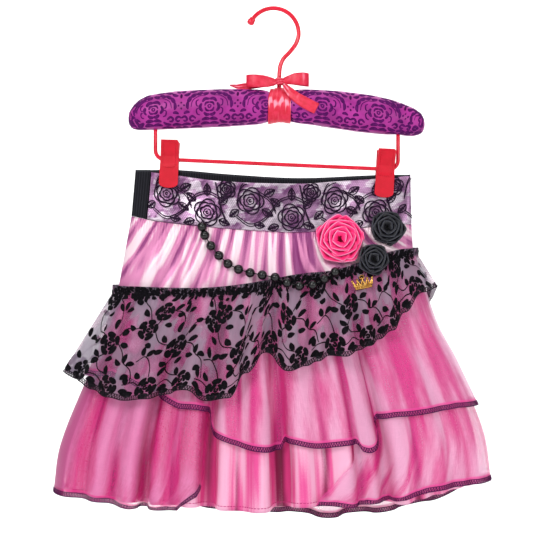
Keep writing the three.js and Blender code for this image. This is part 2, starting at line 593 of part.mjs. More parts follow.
function swagGeometry() {
  const middles = [THREAD_START, ...BEADS, THREAD_END].map((p) => new THREE.Vector3(...p));
  const path = [middles[0]];
  const radii = [THREAD_RADIUS];
  for (let k = 1; k < middles.length - 1; k += 1) {
    const direction = new THREE.Vector3().subVectors(middles[k + 1], middles[k - 1]).normalize();
    for (const [offset, radius] of BEAD_PROFILE) {
      path.push(middles[k].clone().addScaledVector(direction, offset * BEAD_RADIUS));
      radii.push(radius * BEAD_RADIUS);
    }
  }
  path.push(middles[middles.length - 1]);
  radii.push(THREAD_RADIUS);
  return sweepGeometry(path, radii, 8);
}
addMesh("bead_swag", swagGeometry(), "bead");

// Roses: a rolled ribbon as one domed disc with a spiral step, its back flat.
const ROSES = [
  {
    name: "rose_pink", finish: "pinkRose", x: 67.5, y: -14.3, z: -234.5,
    radius: 26.6, height: 13, turns: 4, tilt: 6,
  },
  {
    name: "rose_black_upper", finish: "blackRose", x: 115.2, y: -10.6, z: -222.5,
    radius: 19, height: 11, turns: 3, tilt: 6,
  },
  {
    name: "rose_black_lower", finish: "blackRose", x: 100.5, y: -23.4, z: -254.5,
    radius: 17, height: 10, turns: 3, tilt: 5,
  },
];
const ROSE_SIDES = 20;
const ROSE_RINGS = 7;
const ROSE_RIM = 1.6;
const ROSE_STEP = 1.8; // of the spiral's edge

function roseGeometry({ radius, height, turns }) {
  const points = [new THREE.Vector3(0, 0, height * 0.8)];
  const triangles = [];
  for (let ring = 1; ring <= ROSE_RINGS; ring += 1) {
    for (let s = 0; s < ROSE_SIDES; s += 1) {
      const angle = (2 * Math.PI * s) / ROSE_SIDES;
      const share = ring / ROSE_RINGS;
      const petal = 1 + 0.035 * Math.cos(5 * angle + 1) * share;
      const spiral = (share * turns - angle / (2 * Math.PI) + turns) % 1;
      const dome = height * Math.sqrt(1 - (share * 0.97) ** 2) - 1.4;
      const step = ring < ROSE_RINGS ? ROSE_STEP * (1 - spiral) : 0;
      const reach = radius * share * petal;
      const z = Math.max(ROSE_RIM, dome + step);
      points.push(new THREE.Vector3(reach * Math.cos(angle), reach * Math.sin(angle), z));
    }
  }
  const rimBack = points.length;
  for (let s = 0; s < ROSE_SIDES; s += 1) {
    const front = points[1 + (ROSE_RINGS - 1) * ROSE_SIDES + s];
    points.push(new THREE.Vector3(front.x * 0.94, front.y * 0.94, 0));
  }
  const back = points.length;
  points.push(new THREE.Vector3(0, 0, 0));
  const at = (ring, s) => 1 + (ring - 1) * ROSE_SIDES + (s % ROSE_SIDES);
  for (let s = 0; s < ROSE_SIDES; s += 1) {
    const next = (s + 1) % ROSE_SIDES;
    triangles.push([0, at(1, s), at(1, next)]);
    for (let ring = 1; ring < ROSE_RINGS; ring += 1) {
      triangles.push([at(ring, s), at(ring + 1, s), at(ring + 1, next)]);
      triangles.push([at(ring, s), at(ring + 1, next), at(ring, next)]);
    }
    const rim = at(ROSE_RINGS, s);
    const rimNext = at(ROSE_RINGS, next);
    triangles.push([rim, rimBack + s, rimBack + next], [rim, rimBack + next, rimNext]);
    triangles.push([back, rimBack + next, rimBack + s]);
  }
  return geometryFrom(points, triangles);
}

// Turns a shape drawn in X and Y so that it faces the front, with its height along Z.
const FACING_FRONT = new THREE.Matrix4().makeBasis(
  new THREE.Vector3(1, 0, 0),
  new THREE.Vector3(0, 0, 1),
  new THREE.Vector3(0, -1, 0),
);

for (const rose of ROSES) {
  const mesh = addMesh(rose.name, roseGeometry(rose).applyMatrix4(FACING_FRONT), rose.finish);
  mesh.position.set(rose.x, rose.y, rose.z);
  mesh.rotation.x = THREE.MathUtils.degToRad(-rose.tilt);
}

// Booleans
function toSolid(geometry) {
  const plain = geometry.clone();
  plain.deleteAttribute("normal");
  plain.deleteAttribute("uv");
  const merged = mergeVertices(plain);
  const vertProperties = new Float32Array(merged.attributes.position.array);
  const triVerts = new Uint32Array(merged.index.array);
  return new wasm.Manifold(new wasm.Mesh({ numProp: 3, vertProperties, triVerts }));
}

function fromSolid(solid) {
  const mesh = solid.getMesh();
  const geometry = new THREE.BufferGeometry();
  geometry.setAttribute("position", new THREE.Float32BufferAttribute(mesh.vertProperties, 3));
  geometry.setIndex(Array.from(mesh.triVerts));
  return geometry;
}

function extruded(shape, depth, curveSegments = 4) {
  return new THREE.ExtrudeGeometry(shape, { depth, bevelEnabled: false, curveSegments });
}

// Crown charm: a plain band with five points and a sewing loop
const CROWN = { x: 89, y: -30, z: -279, width: 20, height: 9, thickness: 1.6, turn: 12, loop: 2.1 };

function crownGeometry() {
  const { width, height, thickness, loop } = CROWN;
  const outline = new THREE.Shape();
  outline.moveTo(-width * 0.42, -height / 2);
  outline.lineTo(width * 0.42, -height / 2);
  const points = 5;
  for (let k = points - 1; k >= 0; k -= 1) {
    const share = k / (points - 1) - 0.5;
    outline.lineTo(width * share, height * (0.5 - 0.5 * Math.abs(share)));
    if (k > 0) outline.lineTo(width * (share - 0.125) * 0.92, -height * 0.12);
  }
  const ring = new THREE.Shape();
  ring.absarc(0, height * 0.5 + loop * 0.7, loop, 0, 2 * Math.PI);
  const hole = new THREE.Path();
  hole.absarc(0, height * 0.5 + loop * 0.7, loop * 0.5, 0, 2 * Math.PI);
  ring.holes.push(hole);
  const body = toSolid(extruded(outline, thickness)).add(toSolid(extruded(ring, thickness, 6)));
  return fromSolid(body).applyMatrix4(FACING_FRONT);
}
const crown = addMesh("crown_charm", crownGeometry(), "gold");
crown.position.set(CROWN.x, CROWN.y, CROWN.z);
crown.rotation.y = THREE.MathUtils.degToRad(-CROWN.turn);

// Hanger hook: crown, side, swan neck and stem, all in one plane
const HOOK_MIDDLE = -HOOK_RADIUS + WIRE_RADIUS; // height of the arc's middle
const HOOK_START = 152; // degrees, at the tip
const HOOK_END = -4;
const HOOK_TIP = new THREE.Vector3(-1.6, 0, -2.6); // from the arc's start to the cap's end
const HOOK_CAP = [0.9, 3.9, 3.4]; // radii of the cap on the tip
// The neck: x, z
const HOOK_NECK = [
  [25.2, -28.5], [22.6, -35], [16.4, -43], [10.3, -49.5], [7.2, -56.5], [6.2, -63],
  [5.9, -69.8], [5.9, -80.3],
];

function hookGeometry() {
  const path = [];
  const steps = 16;
  for (let k = 0; k <= steps; k += 1) {
    const angle = THREE.MathUtils.degToRad(lerp(HOOK_START, HOOK_END, k / steps));
    const x = HOOK_RADIUS * Math.cos(angle);
    path.push(new THREE.Vector3(x, 0, HOOK_MIDDLE + HOOK_RADIUS * Math.sin(angle)));
  }
  path.unshift(path[0].clone().add(HOOK_TIP));
  for (const [x, z] of HOOK_NECK) path.push(new THREE.Vector3(x, 0, z));
  const radii = path.map((unused, k) => HOOK_CAP[k] ?? WIRE_RADIUS);
  return sweepGeometry(path, radii, WIRE_SIDES);
}
addMesh("hanger_hook", hookGeometry(), "red");

// Padded bar of the hanger: x, z of its middle, half its height
const PAD = [
  [-148.7, -111, 3], [-145.5, -110.6, 9.5], [-139, -108, 13.5], [-130, -105.2, 16.2],
  [-104.8, -102.5, 18], [-73.5, -100.8, 18.5], [-48.5, -99.7, 18.4], [-28, -99.2, 17.9],
  [-5.5, -98.5, 16.9], [6, -97.8, 15.6], [17.5, -98.1, 16.6], [34, -98.7, 17.3],
  [72.2, -102.8, 18.6], [93.7, -105.5, 18.5], [118, -109.1, 17.2], [138, -113, 14.2],
  [150, -115.8, 10.5], [155.6, -117.3, 3.5],
];
const PAD_SIDES = 14;
const PAD_FLAT = PAD_DEPTH / 18.5; // its half depth against its half height
const padPath = PAD.map(([x, z]) => new THREE.Vector3(x, 0, z));
const padHalf = PAD.map(([, , half]) => half);
addMesh("hanger_pad", sweepGeometry(padPath, padHalf, PAD_SIDES, PAD_FLAT), "pad");

// Ribbon wound round the middle of the padded bar, its ends meeting underneath
const RIBBON = 1;
const WRAP_OUT = SEAM_GAP + RIBBON / 2 + 0.25; // from the pad to the middle of the ribbon
const WRAP_END = 0.04; // the gap where its ends meet, in shares of one side

function wrapGrid() {
  const rows = PAD.filter(([x]) => x > -6 && x < 18);
  const grid = [];
  for (let k = 0; k <= PAD_SIDES; k += 1) {
    const turn = Math.min(PAD_SIDES - WRAP_END, Math.max(WRAP_END, k)) / PAD_SIDES;
    const angle = -Math.PI + 2 * Math.PI * turn;
    grid.push(rows.map(([x, z, half]) => {
      const y = (half * PAD_FLAT + WRAP_OUT) * Math.sin(angle);
      return new THREE.Vector3(x, y, z + (half + WRAP_OUT) * Math.cos(angle));
    }));
  }
  return grid;
}
addWall("ribbon_wrap", wrapGrid(), RIBBON, "ribbon");

// Bow: knot, two loops and two tails. Each ribbon is a strip along rows of x, y, z, width.
const KNOT = { x: 6.2, y: -6.6, z: -73.8, radius: 4 };
const LOOP_LEFT = [
  [1.6, -7.6, -74.6, 4], [-5, -10.5, -74.8, 6.5], [-14, -12.5, -74.4, 9.5], [-23, -11.5, -74, 11],
  [-27.5, -8.4, -73.9, 11], [-24, -5.4, -74, 10.5], [-14, -4.6, -74.3, 8.5], [-5, -4.9, -74.6, 6],
  [1.6, -5.6, -74.5, 4],
];
const LOOP_RIGHT = [
  [10.8, -7.6, -73.4, 4], [17, -10.5, -72.6, 6.5], [26, -12.5, -72, 10], [33, -11.5, -72.5, 12],
  [36, -8.4, -72.8, 12], [33, -5.4, -72.6, 11], [25, -4.6, -72.2, 9], [17, -4.9, -72.8, 6],
  [10.8, -5.6, -73.5, 4],
];
const TAIL_LEFT = [
  [1, -3.3, -75.6, 4], [-12, -3.2, -76.4, 6], [-28, -3.1, -77.6, 6.5], [-45, -3.1, -77.9, 6],
];
const TAIL_RIGHT = [
  [10.6, -9.2, -77.4, 4], [15.5, -14.6, -84, 8], [22, -16.2, -90.5, 10], [31, -17, -97, 11],
  [40.5, -17.2, -101.8, 11],
];

// Levels run across the ribbon, square to the way it goes in the front view when slanted.
function ribbonGrid(rows, slanted) {
  return rows.map(([x, y, z, width], k) => {
    const before = rows[Math.max(0, k - 1)];
    const after = rows[Math.min(rows.length - 1, k + 1)];
    const length = Math.hypot(after[0] - before[0], after[2] - before[2]) || 1;
    const sideX = slanted ? (after[2] - before[2]) / length : 0;
    const sideZ = slanted ? -(after[0] - before[0]) / length : -1;
    return [-0.5 * width, 0, 0.5 * width].map((reach) => (
      new THREE.Vector3(x + reach * sideX, y, z + reach * sideZ)
    ));
  });
}
const knot = addMesh("bow_knot", new THREE.SphereGeometry(KNOT.radius, 10, 7), "ribbon");
knot.position.set(KNOT.x, KNOT.y, KNOT.z);
addWall("bow_loop_left", ribbonGrid(LOOP_LEFT, false), RIBBON, "ribbon");
addWall("bow_loop_right", ribbonGrid(LOOP_RIGHT, false), RIBBON, "ribbon");
addWall("bow_tail_left", ribbonGrid(TAIL_LEFT, false), RIBBON, "ribbon");
addWall("bow_tail_right", ribbonGrid(TAIL_RIGHT, true), RIBBON, "ribbon");

// Clip bar: a wire bent down from the padded bar, across, and up again
const BAR_LEFT = { x: -120.6, z: -152.4, top: -121.5 };
const BAR_RIGHT = { x: 127.5, z: -162.6, top: -127.15 };
const BAR_BEND = 9;

function barGeometry() {
  const path = [new THREE.Vector3(BAR_LEFT.x, 0, BAR_LEFT.top)];
  const steps = 4;
  for (let k = 0; k <= steps; k += 1) {
    const angle = (Math.PI / 2) * (k / steps);
    const x = BAR_LEFT.x + BAR_BEND * (1 - Math.cos(angle));
    path.push(new THREE.Vector3(x, 0, BAR_LEFT.z + BAR_BEND * (1 - Math.sin(angle))));
  }
  for (let k = 0; k <= steps; k += 1) {
    const angle = (Math.PI / 2) * (k / steps);
    const x = BAR_RIGHT.x - BAR_BEND * (1 - Math.sin(angle));
    path.push(new THREE.Vector3(x, 0, BAR_RIGHT.z + BAR_BEND * (1 - Math.cos(angle))));
  }
  path.push(new THREE.Vector3(BAR_RIGHT.x, 0, BAR_RIGHT.top));
  return sweepGeometry(path, path.map(() => BAR_RADIUS), WIRE_SIDES);
}
addMesh("hanger_bar", barGeometry(), "red");

// Clips: two plates each, splayed at the top, close to the bar and pinching the cloth below.
// Each hangs from the bar at its own lean, in degrees, its foot to the left.
const CLIPS = [
  { side: "left", x: -106.4, top: -133.2, bottom: -181.9, bar: -152.7, lean: 1.4 },
  { side: "right", x: 113.9, top: -142.3, bottom: -191.8, bar: -162.1, lean: 3 },
];
const JAW_FRONT = 3.45; // inner face of the front plate where it grips
const JAW_BACK = 2.25;
const CLEAR_OF_BAR = BAR_RADIUS + 0.35;
const CLIP_SPLAY = 8; // from the middle to the plates' inner faces at the top
const CLIP_CORNER = 1.5;
const THUMB = { raised: 0.9, inset: 3, length: 28, corner: 2 };
const ACROSS = new THREE.Matrix4().makeBasis(
  new THREE.Vector3(0, 1, 0),
  new THREE.Vector3(0, 0, 1),
  new THREE.Vector3(1, 0, 0),
);

function plateGeometry(clip, side, jaw) {
  const inner = [
    [CLIP_SPLAY, clip.top], [CLEAR_OF_BAR, clip.bar + 3], [CLEAR_OF_BAR, clip.bar - 4],
    [jaw, clip.bar - 8], [jaw, clip.bottom],
  ];
  const profile = (raised) => {
    const outer = inner.map(([y, z]) => [y + CLIP_PLATE + raised, z]).reverse();
    const shape = new THREE.Shape([...inner, ...outer].map(([y, z]) => new THREE.Vector2(side * y, z)));
    const geometry = extruded(shape, CLIP_WIDTH).applyMatrix4(ACROSS);
    return toSolid(geometry.translate(clip.x - CLIP_WIDTH / 2, 0, 0));
  };
  const front = (halfWidth, top, bottom, corner) => {
    const outline = new THREE.Shape();
    outline.moveTo(-halfWidth + corner, top);
    outline.lineTo(halfWidth - corner, top);
    outline.lineTo(halfWidth, top - corner);
    outline.lineTo(halfWidth, bottom + halfWidth * 0.5);
    outline.absellipse(0, bottom + halfWidth * 0.5, halfWidth, halfWidth * 0.5, 0, -Math.PI, true);
    const geometry = extruded(outline, 40, 5).translate(0, 0, -20).applyMatrix4(FACING_FRONT);
    return toSolid(geometry.translate(clip.x, 0, 0));
  };
  const plate = profile(0).intersect(front(CLIP_WIDTH / 2, clip.top, clip.bottom, CLIP_CORNER));
  const thumbTop = clip.top - THUMB.inset;
  const thumbOutline = front(
    CLIP_WIDTH / 2 - THUMB.inset, thumbTop, thumbTop + THUMB.inset - THUMB.length, THUMB.corner,
  );
  const thumb = profile(THUMB.raised).intersect(thumbOutline);
  const leaning = THREE.MathUtils.degToRad(clip.lean);
  return fromSolid(plate.add(thumb))
    .translate(-clip.x, 0, -clip.bar)
    .rotateY(leaning)
    .translate(clip.x, 0, clip.bar);
}
for (const clip of CLIPS) {
  addMesh(`clip_${clip.side}_front`, plateGeometry(clip, -1, JAW_FRONT), "red");
  addMesh(`clip_${clip.side}_back`, plateGeometry(clip, 1, JAW_BACK), "red");
}

export default group;
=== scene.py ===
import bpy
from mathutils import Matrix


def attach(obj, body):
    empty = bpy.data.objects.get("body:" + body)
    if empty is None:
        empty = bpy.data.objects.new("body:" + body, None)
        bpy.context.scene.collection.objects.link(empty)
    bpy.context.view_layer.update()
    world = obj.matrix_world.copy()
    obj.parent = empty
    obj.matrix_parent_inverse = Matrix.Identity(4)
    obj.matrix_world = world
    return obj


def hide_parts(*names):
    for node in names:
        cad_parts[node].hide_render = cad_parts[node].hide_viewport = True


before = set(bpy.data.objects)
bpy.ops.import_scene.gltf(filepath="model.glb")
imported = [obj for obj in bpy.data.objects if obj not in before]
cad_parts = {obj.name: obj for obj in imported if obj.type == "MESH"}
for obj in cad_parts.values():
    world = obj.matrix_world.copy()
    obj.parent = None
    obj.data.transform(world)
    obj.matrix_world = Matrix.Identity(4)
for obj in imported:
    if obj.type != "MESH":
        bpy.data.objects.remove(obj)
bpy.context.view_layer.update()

import math

import bpy
import numpy as np
from mathutils import Vector
from mathutils.bvhtree import BVHTree

# A layered party skirt on a padded clip hanger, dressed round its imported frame.
# Tables are in millimetres, as in the part's source, and meshes in metres.
MM = 0.001
CLOTH = 1.2
SEAM_GAP = 0.3
LAYER_STEP = CLOTH + SEAM_GAP
SEAM_DEPTH = 14
LAYER_DEPTH = 57
FOLD_COLUMNS = 8
LAYER_LEVELS = 46
SATIN_WALL = 0.8
# Soft creases in the layers and in the ruffle: size, pitch
LAYER_CREASE = (0.5, 24)
RUFFLE_CREASE = (0.7, 16)
GATHER_WAVES = 19
GATHER_DEPTH = 1.8
CLIP_LEFT = -107
CLIP_RIGHT = 113
PINCH_LEFT = -184
PINCH_RIGHT = -194
DROP_LEFT = -159
DROP_RIGHT = 142.8
DROP_MIDDLE = (DROP_LEFT + DROP_RIGHT) / 2
DROP_HALF = (DROP_RIGHT - DROP_LEFT) / 2
HEM_LEFT = -213
HEM_RIGHT = 211
FRONT = -1
BACK = 1

# Heights of the seams and edges: x, z
ELASTIC_TOP = [
    (-140.6, -163.4), (-97, -163.3), (-45, -167.5), (27, -171.2), (102, -168.6), (139.7, -168),
]
YOKE_TOP = [
    (-124.6, -165.8), (-97, -169.3), (-51, -175.4), (27, -178), (62, -175.6), (102, -172.6),
    (139.7, -169.5),
]
YOKE_SEAM = [
    (-144.7, -210.4), (-118, -216.2), (-57, -222.9), (13, -227.3), (43, -226.6), (140.8, -218.6),
]
DROP_SEAM = [
    (-159, -289), (-74, -290.8), (-30, -287), (27, -277.7), (72, -270.6), (121, -255),
    (142.8, -251),
]
DROP_SEAM_BACK = [
    (-159, -289), (-60, -284), (40, -268), (142.8, -251),
]
HEADING_TOP = [
    (-160, -281.5), (-75, -283.4), (-30, -279.4), (27, -269.2), (63, -265), (122, -245.8),
    (145, -243),
]

# Plan views of the upper rings: x, y
WAIST_RING = [
    (-140.6, 0), (-124.6, -1.1), (-119, -1.1), (-94, -1.1), (-52, -6.5), (5, -8.5), (58, -6.5),
    (101, -1.1), (126, -1.1), (139.7, 0),
]
YOKE_RING = [
    (-144.7, 0), (-128.7, -5), (-119, -5.6), (-94, -6.6), (-52, -9), (5, -10), (58, -9),
    (101, -6.5), (126, -5), (140.8, 0),
]
BACK_WAIST_RING = [
    (139.7, 0), (126, 1.3), (101, 1.3), (5, 4.5), (-94, 1.3), (-119, 1.3), (-140.6, 0),
]
BACK_YOKE_RING = [
    (140.8, 0), (126, 5), (101, 6.5), (5, 10), (-94, 6.6), (-119, 5.6), (-144.7, 0),
]

# How the lower skirt spreads and how its folds grow, from the drop seam to the hem
FLARE = [
    (0, 0), (0.3, 0.27), (0.47, 0.52), (0.78, 0.9), (1, 1),
]
FOLD_GROWTH = [
    (0, 0), (0.12, 0.3), (0.3, 0.52), (0.6, 0.8), (1, 1),
]

# Hem of the satin underskirt: x, y, z and how round the fold is towards the next row
HEM_FRONT = [
    (-213, 0, -489, 1), (-200, -22, -490, 1.4), (-189, -17, -492, 1.4), (-176, -32, -492, 1.4),
    (-162, -25, -495, 1.4), (-144, -42, -495, 2.3), (-130, -16, -499, 2.3), (-117, -38, -498, 1.4),
    (-103, -32, -499, 1.5), (-83, -46, -499, 2.4), (-66, -14, -504, 2.3), (-49, -37, -504, 1.4),
    (-37, -32, -505, 1.4), (-14, -48, -504, 2.5), (9, -15, -504, 2.3), (29, -42, -500, 1.5),
    (53, -30, -500, 1.4), (74, -38, -498, 2.2), (90, -18, -500, 1.6), (100, -23, -499, 1.6),
    (112, -13, -499, 2.3), (128, -42, -497, 1.5), (145, -35, -493, 1.4), (163, -40, -487, 1.4),
    (181, -29, -484, 1.4), (195, -22, -482, 1), (211, 0, -480, 1),
]
HEM_BACK = [
    (211, 0, -480, 1), (194, 24, -486, 1.5), (174, 16, -493, 1.8), (146, 38, -500, 2),
    (118, 22, -505, 2), (86, 44, -508, 2.2), (58, 20, -510, 2.2), (26, 46, -510, 1.8),
    (-6, 30, -508, 1.8), (-36, 44, -507, 2.2), (-64, 18, -504, 2.2), (-96, 42, -501, 2),
    (-124, 24, -499, 2), (-152, 36, -496, 1.8), (-178, 18, -492, 1.5), (-198, 22, -490, 1),
    (-213, 0, -489, 1),
]

# Hems of the sheer layers: x, z
LONG_HEM = [
    (-225, -491), (-176, -496), (-132, -502), (-94, -503), (37, -499), (99, -500), (126, -493),
    (164, -483), (222, -479),
]
LONG_HEM_BACK = [
    (-225, -491), (-120, -508), (-30, -518), (64, -525), (144, -514), (172, -504), (222, -481),
]
SHORT_HEM = [
    (-190, -372), (-133, -388), (-105, -402), (-75, -406), (-62, -428), (-33, -440), (9, -445),
    (16, -437), (46, -442), (88, -439), (94, -447), (106, -444), (112, -418), (154, -409),
    (201, -403),
]
SHORT_HEM_BACK = [
    (-190, -372), (-100, -400), (0, -425), (100, -425), (201, -403),
]

# Hem of the ruffle: x, height of its wave over the layers below, z, roundness
RUFFLE_FRONT = [
    (-215, 0, -369, 1), (-196, 10, -377, 1.4), (-180, 3, -384, 1.4), (-163, 11, -390, 1.4),
    (-147, 2, -394, 1.4), (-125, 13, -391, 1.5), (-108, 1, -388, 1.6), (-88, 14, -382, 1.8),
    (-66, 2, -394, 1.6), (-44, 4, -391, 1.5), (-27, 13, -366, 1.5), (-8, 0, -347, 1.5),
    (14, 13, -364, 1.5), (32, 2, -360, 1.4), (43, 9, -355, 1.4), (55, 1, -350, 1.4),
    (71, 12, -350, 1.4), (83, 1, -345, 1.4), (94, 10, -340, 1.4), (104, 1, -334, 1.4),
    (117, 11, -325, 1.5), (130, 1, -308, 1.5), (148, 12, -288, 1.3), (168, 0, -282, 1),
]
RUFFLE_BACK = [
    (168, 0, -282, 1), (158, 12, -305, 1.4), (134, 1, -318, 1.5), (110, 12, -328, 1.5),
    (84, 1, -338, 1.5), (58, 13, -345, 1.5), (30, 1, -352, 1.5), (2, 13, -360, 1.5),
    (-28, 2, -368, 1.5), (-58, 14, -376, 1.5), (-88, 1, -384, 1.5), (-118, 12, -390, 1.5),
    (-146, 1, -390, 1.5), (-176, 11, -382, 1.5), (-198, 3, -375, 1), (-215, 0, -369, 1),
]

# Each sheer layer: steps out from the satin, and its lift on crests, in valleys, at the sides
LONG_LIFT = {"step": 1, "crest": 1.8, "valley": 4.5, "side": 10}
SHORT_LIFT = {"step": 2, "crest": 4, "valley": 9.5, "side": 14}
NO_LIFT = {"step": 0, "crest": 0, "valley": 0, "side": 0}


# Small maths on arrays
def lerp(a, b, share):
    return a + (b - a) * share


def smooth(value):
    held = np.clip(value, 0, 1)
    return held * held * (3 - 2 * held)


def along(rows, values):
    """A smooth height through the rows of a table, first column against second."""
    table = np.array(rows, float)
    xs = table[:, 0]
    ys = table[:, 1]
    slopes = np.empty(len(xs))
    slopes[1:-1] = (ys[2:] - ys[:-2]) / (xs[2:] - xs[:-2])
    slopes[0] = (ys[1] - ys[0]) / (xs[1] - xs[0])
    slopes[-1] = (ys[-1] - ys[-2]) / (xs[-1] - xs[-2])
    held = np.clip(values, xs[0], xs[-1])
    i = np.clip(np.searchsorted(xs, held, side="right") - 1, 0, len(xs) - 2)
    width = xs[i + 1] - xs[i]
    t = (held - xs[i]) / width
    start = ys[i] * (2 * t**3 - 3 * t**2 + 1) + slopes[i] * width * (t**3 - 2 * t**2 + t)
    end = ys[i + 1] * (3 * t**2 - 2 * t**3) + slopes[i + 1] * width * (t**3 - t**2)
    return start + end


def oval(share, power=4):
    """The flattened oval of a ring, 1 in the middle and 0 at the sides."""
    return np.sqrt(np.maximum(0, 1 - np.abs(share) ** power))


def ripples(u, v, seed, pitch, tilt=0.1, count=8):
    """Soft uneven creases that run down the cloth, between -1 and 1."""
    pick = np.random.default_rng(seed)
    total = 0
    weight = 0
    for _ in range(count):
        size = pitch * pick.uniform(0.55, 1.9)
        lean = pick.normal(0, tilt)
        phase = pick.uniform(0, 2 * math.pi)
        sway = pick.uniform(60, 160)
        share = pick.uniform(0.5, 1)
        bend = 0.8 * np.sin(v / sway * 2 * math.pi + phase)
        total = total + share * np.sin(2 * math.pi * (u + lean * v) / size + phase + bend)
        weight += share
    return total / weight * 1.8


# Plan curves
def plan_at(rows, share):
    """Points of a plan curve where its share runs evenly between the rows' places."""
    table = np.array([(*row, 0, 1)[:4] if len(row) == 2 else row for row in rows], float)
    xs = table[:, 0]
    last = len(xs) - 2
    across = np.sign(xs[-1] - xs[0])
    outward = np.sign(table[1, 1] - table[0, 1])
    i = np.searchsorted(xs * across, share * across, side="right") - 1
    i = np.clip(i, 0, last)
    a = table[i]
    b = table[i + 1]
    t = (share - a[..., 0]) / (b[..., 0] - a[..., 0])
    span = np.hypot(b[..., 0] - a[..., 0], b[..., 1] - a[..., 1])
    reach = a[..., 3] * np.abs(b[..., 0] - a[..., 0])
    start_x = np.where(i == 0, 0, across * reach)
    start_y = np.where(i == 0, outward * span, 0)
    end_x = np.where(i == last, 0, across * reach)
    end_y = np.where(i == last, -outward * span, 0)
    h0 = 2 * t**3 - 3 * t**2 + 1
    h1 = t**3 - 2 * t**2 + t
    h2 = 3 * t**2 - 2 * t**3
    h3 = t**3 - t**2
    x = h0 * a[..., 0] + h1 * start_x + h2 * b[..., 0] + h3 * end_x
    y = h0 * a[..., 1] + h1 * start_y + h2 * b[..., 1] + h3 * end_y
    return x, y, lerp(a[..., 2], b[..., 2], smooth(t))


def shares(rows, steps):
    """Places along a plan curve, the same number in each of its folds."""
    xs = np.array([row[0] for row in rows], float)
    t = np.arange(steps) / steps
    inner = (xs[:-1, None] + np.diff(xs)[:, None] * t[None, :]).ravel()
    return np.append(inner, xs[-1])


def crest_share(rows, share):
    """1 on the crest of a fold, 0 in its valley."""
    depth = [abs(row[1]) for row in rows]
    marks = []
    for k, row in enumerate(rows):
        near = [depth[j] for j in (k - 1, k + 1) if 0 <= j < len(rows)]
        marks.append(1.0 if depth[k] > min(near) + 1 and 0 < k < len(rows) - 1 else 0.1)
    marks[0] = 0.5
    marks[-1] = 0.5
    table = sorted((row[0], mark) for row, mark in zip(rows, marks))
    return np.interp(share, [row[0] for row in table], [row[1] for row in table])


def moved_out(x, y, distance):
    """Moves the columns of a grid sideways by their own normal in plan."""
    dx = np.gradient(x, axis=0)
    dy = np.gradient(y, axis=0)
    length = np.hypot(dx, dy) + 1e-9
    return x + dy / length * distance, y - dx / length * distance


def square_sides(grid, side, at_start=True, at_end=True):
    """Ends a panel at its side seams, half a gap from the seam's plane."""
    if at_start:
        grid[0, :, 1] = side * SEAM_GAP
    if at_end:
        grid[-1, :, 1] = side * SEAM_GAP
    return grid


# Lower layers of the skirt
def lifted(rows, lift):
    made = []
    last = len(rows) - 1
    for k, (x, y, z, roll) in enumerate(rows):
        if k in (0, last):
            made.append((x + math.copysign(lift["side"], x), y, z, roll))
            continue
        near = min(abs(rows[k - 1][1]), abs(rows[k + 1][1]))
        extra = lift["valley"] if abs(y) < near else lift["crest"]
        outer = {1: 0.7, last - 1: 0.7, 2: 0.35, last - 2: 0.35}.get(k, 0) * lift["side"]
        made.append((x + math.copysign(outer, x), y + math.copysign(extra, y), z, roll))
    return made


def lifted_at(rows, lift, share):
    """The lifted hem at a share of the plain one."""
    raised = lifted(rows, lift)
    plain = [row[0] for row in rows]
    table = sorted(zip(plain, [row[0] for row in raised]))
    moved = np.interp(share, [row[0] for row in table], [row[1] for row in table])
    return plan_at(raised, moved)


def layer_points(rows, lift, seam_rows, share, fall):
    """Points of a layer by where they are along its width and down its fall."""
    side = math.copysign(1, rows[1][1])
    hem_x, hem_y, _ = lifted_at(rows, lift, share)
    _, _, hem_z = plan_at(rows, share)
    spread = (share - HEM_LEFT) / (HEM_RIGHT - HEM_LEFT)
    ring_x = lerp(DROP_LEFT, DROP_RIGHT, spread)
    ring_y = side * SEAM_DEPTH * oval(2 * spread - 1)
    top = along(seam_rows, ring_x) - SEAM_GAP / 2
    x = lerp(ring_x, hem_x, along(FLARE, fall))
    y = lerp(ring_y, hem_y, along(FOLD_GROWTH, fall))
    x, y = moved_out(x, y, lift["step"] * LAYER_STEP)
    return x, y, lerp(top, hem_z, fall)


def layer_end(rows, lift, hem, seam_rows, share):
    """How far down its fall a layer reaches, to end at its own hem."""
    hem_x, _, _ = lifted_at(rows, lift, share)
    _, _, hem_z = plan_at(rows, share)
    ring_x = lerp(DROP_LEFT, DROP_RIGHT, (share - HEM_LEFT) / (HEM_RIGHT - HEM_LEFT))
    top = along(seam_rows, ring_x) - SEAM_GAP / 2
    return (top - along(hem, hem_x)) / (top - hem_z)


def edge_at(edge, fall):
    """A free edge's place along the hem at a share of the fall, or a side seam's."""
    return along(edge, fall) if isinstance(edge, list) else np.full_like(fall, float(edge))


def layer_grid(rows, lift, hem, seam_rows, edges):
    """A layer's grid between its side seams or free edges, and how far out its folds stand."""
    share = shares(rows, FOLD_COLUMNS)
    down = np.linspace(0, 1, LAYER_LEVELS)[None, :]
    if edges is None:
        wide = np.repeat(share[:, None], LAYER_LEVELS, axis=1)
    else:
        start, end = (edge_at(edge, down) for edge in edges)
        across = np.linspace(0, 1, int(len(share) * 0.5))[:, None]
        wide = lerp(start, end, across)
    if hem:
        fall = down * layer_end(rows, lift, hem, seam_rows, wide)
    else:
        fall = np.repeat(down, len(wide), axis=0)
    x, y, z = layer_points(rows, lift, seam_rows, wide, fall)
    return np.stack([x, y, z], axis=2), crest_share(rows, wide)


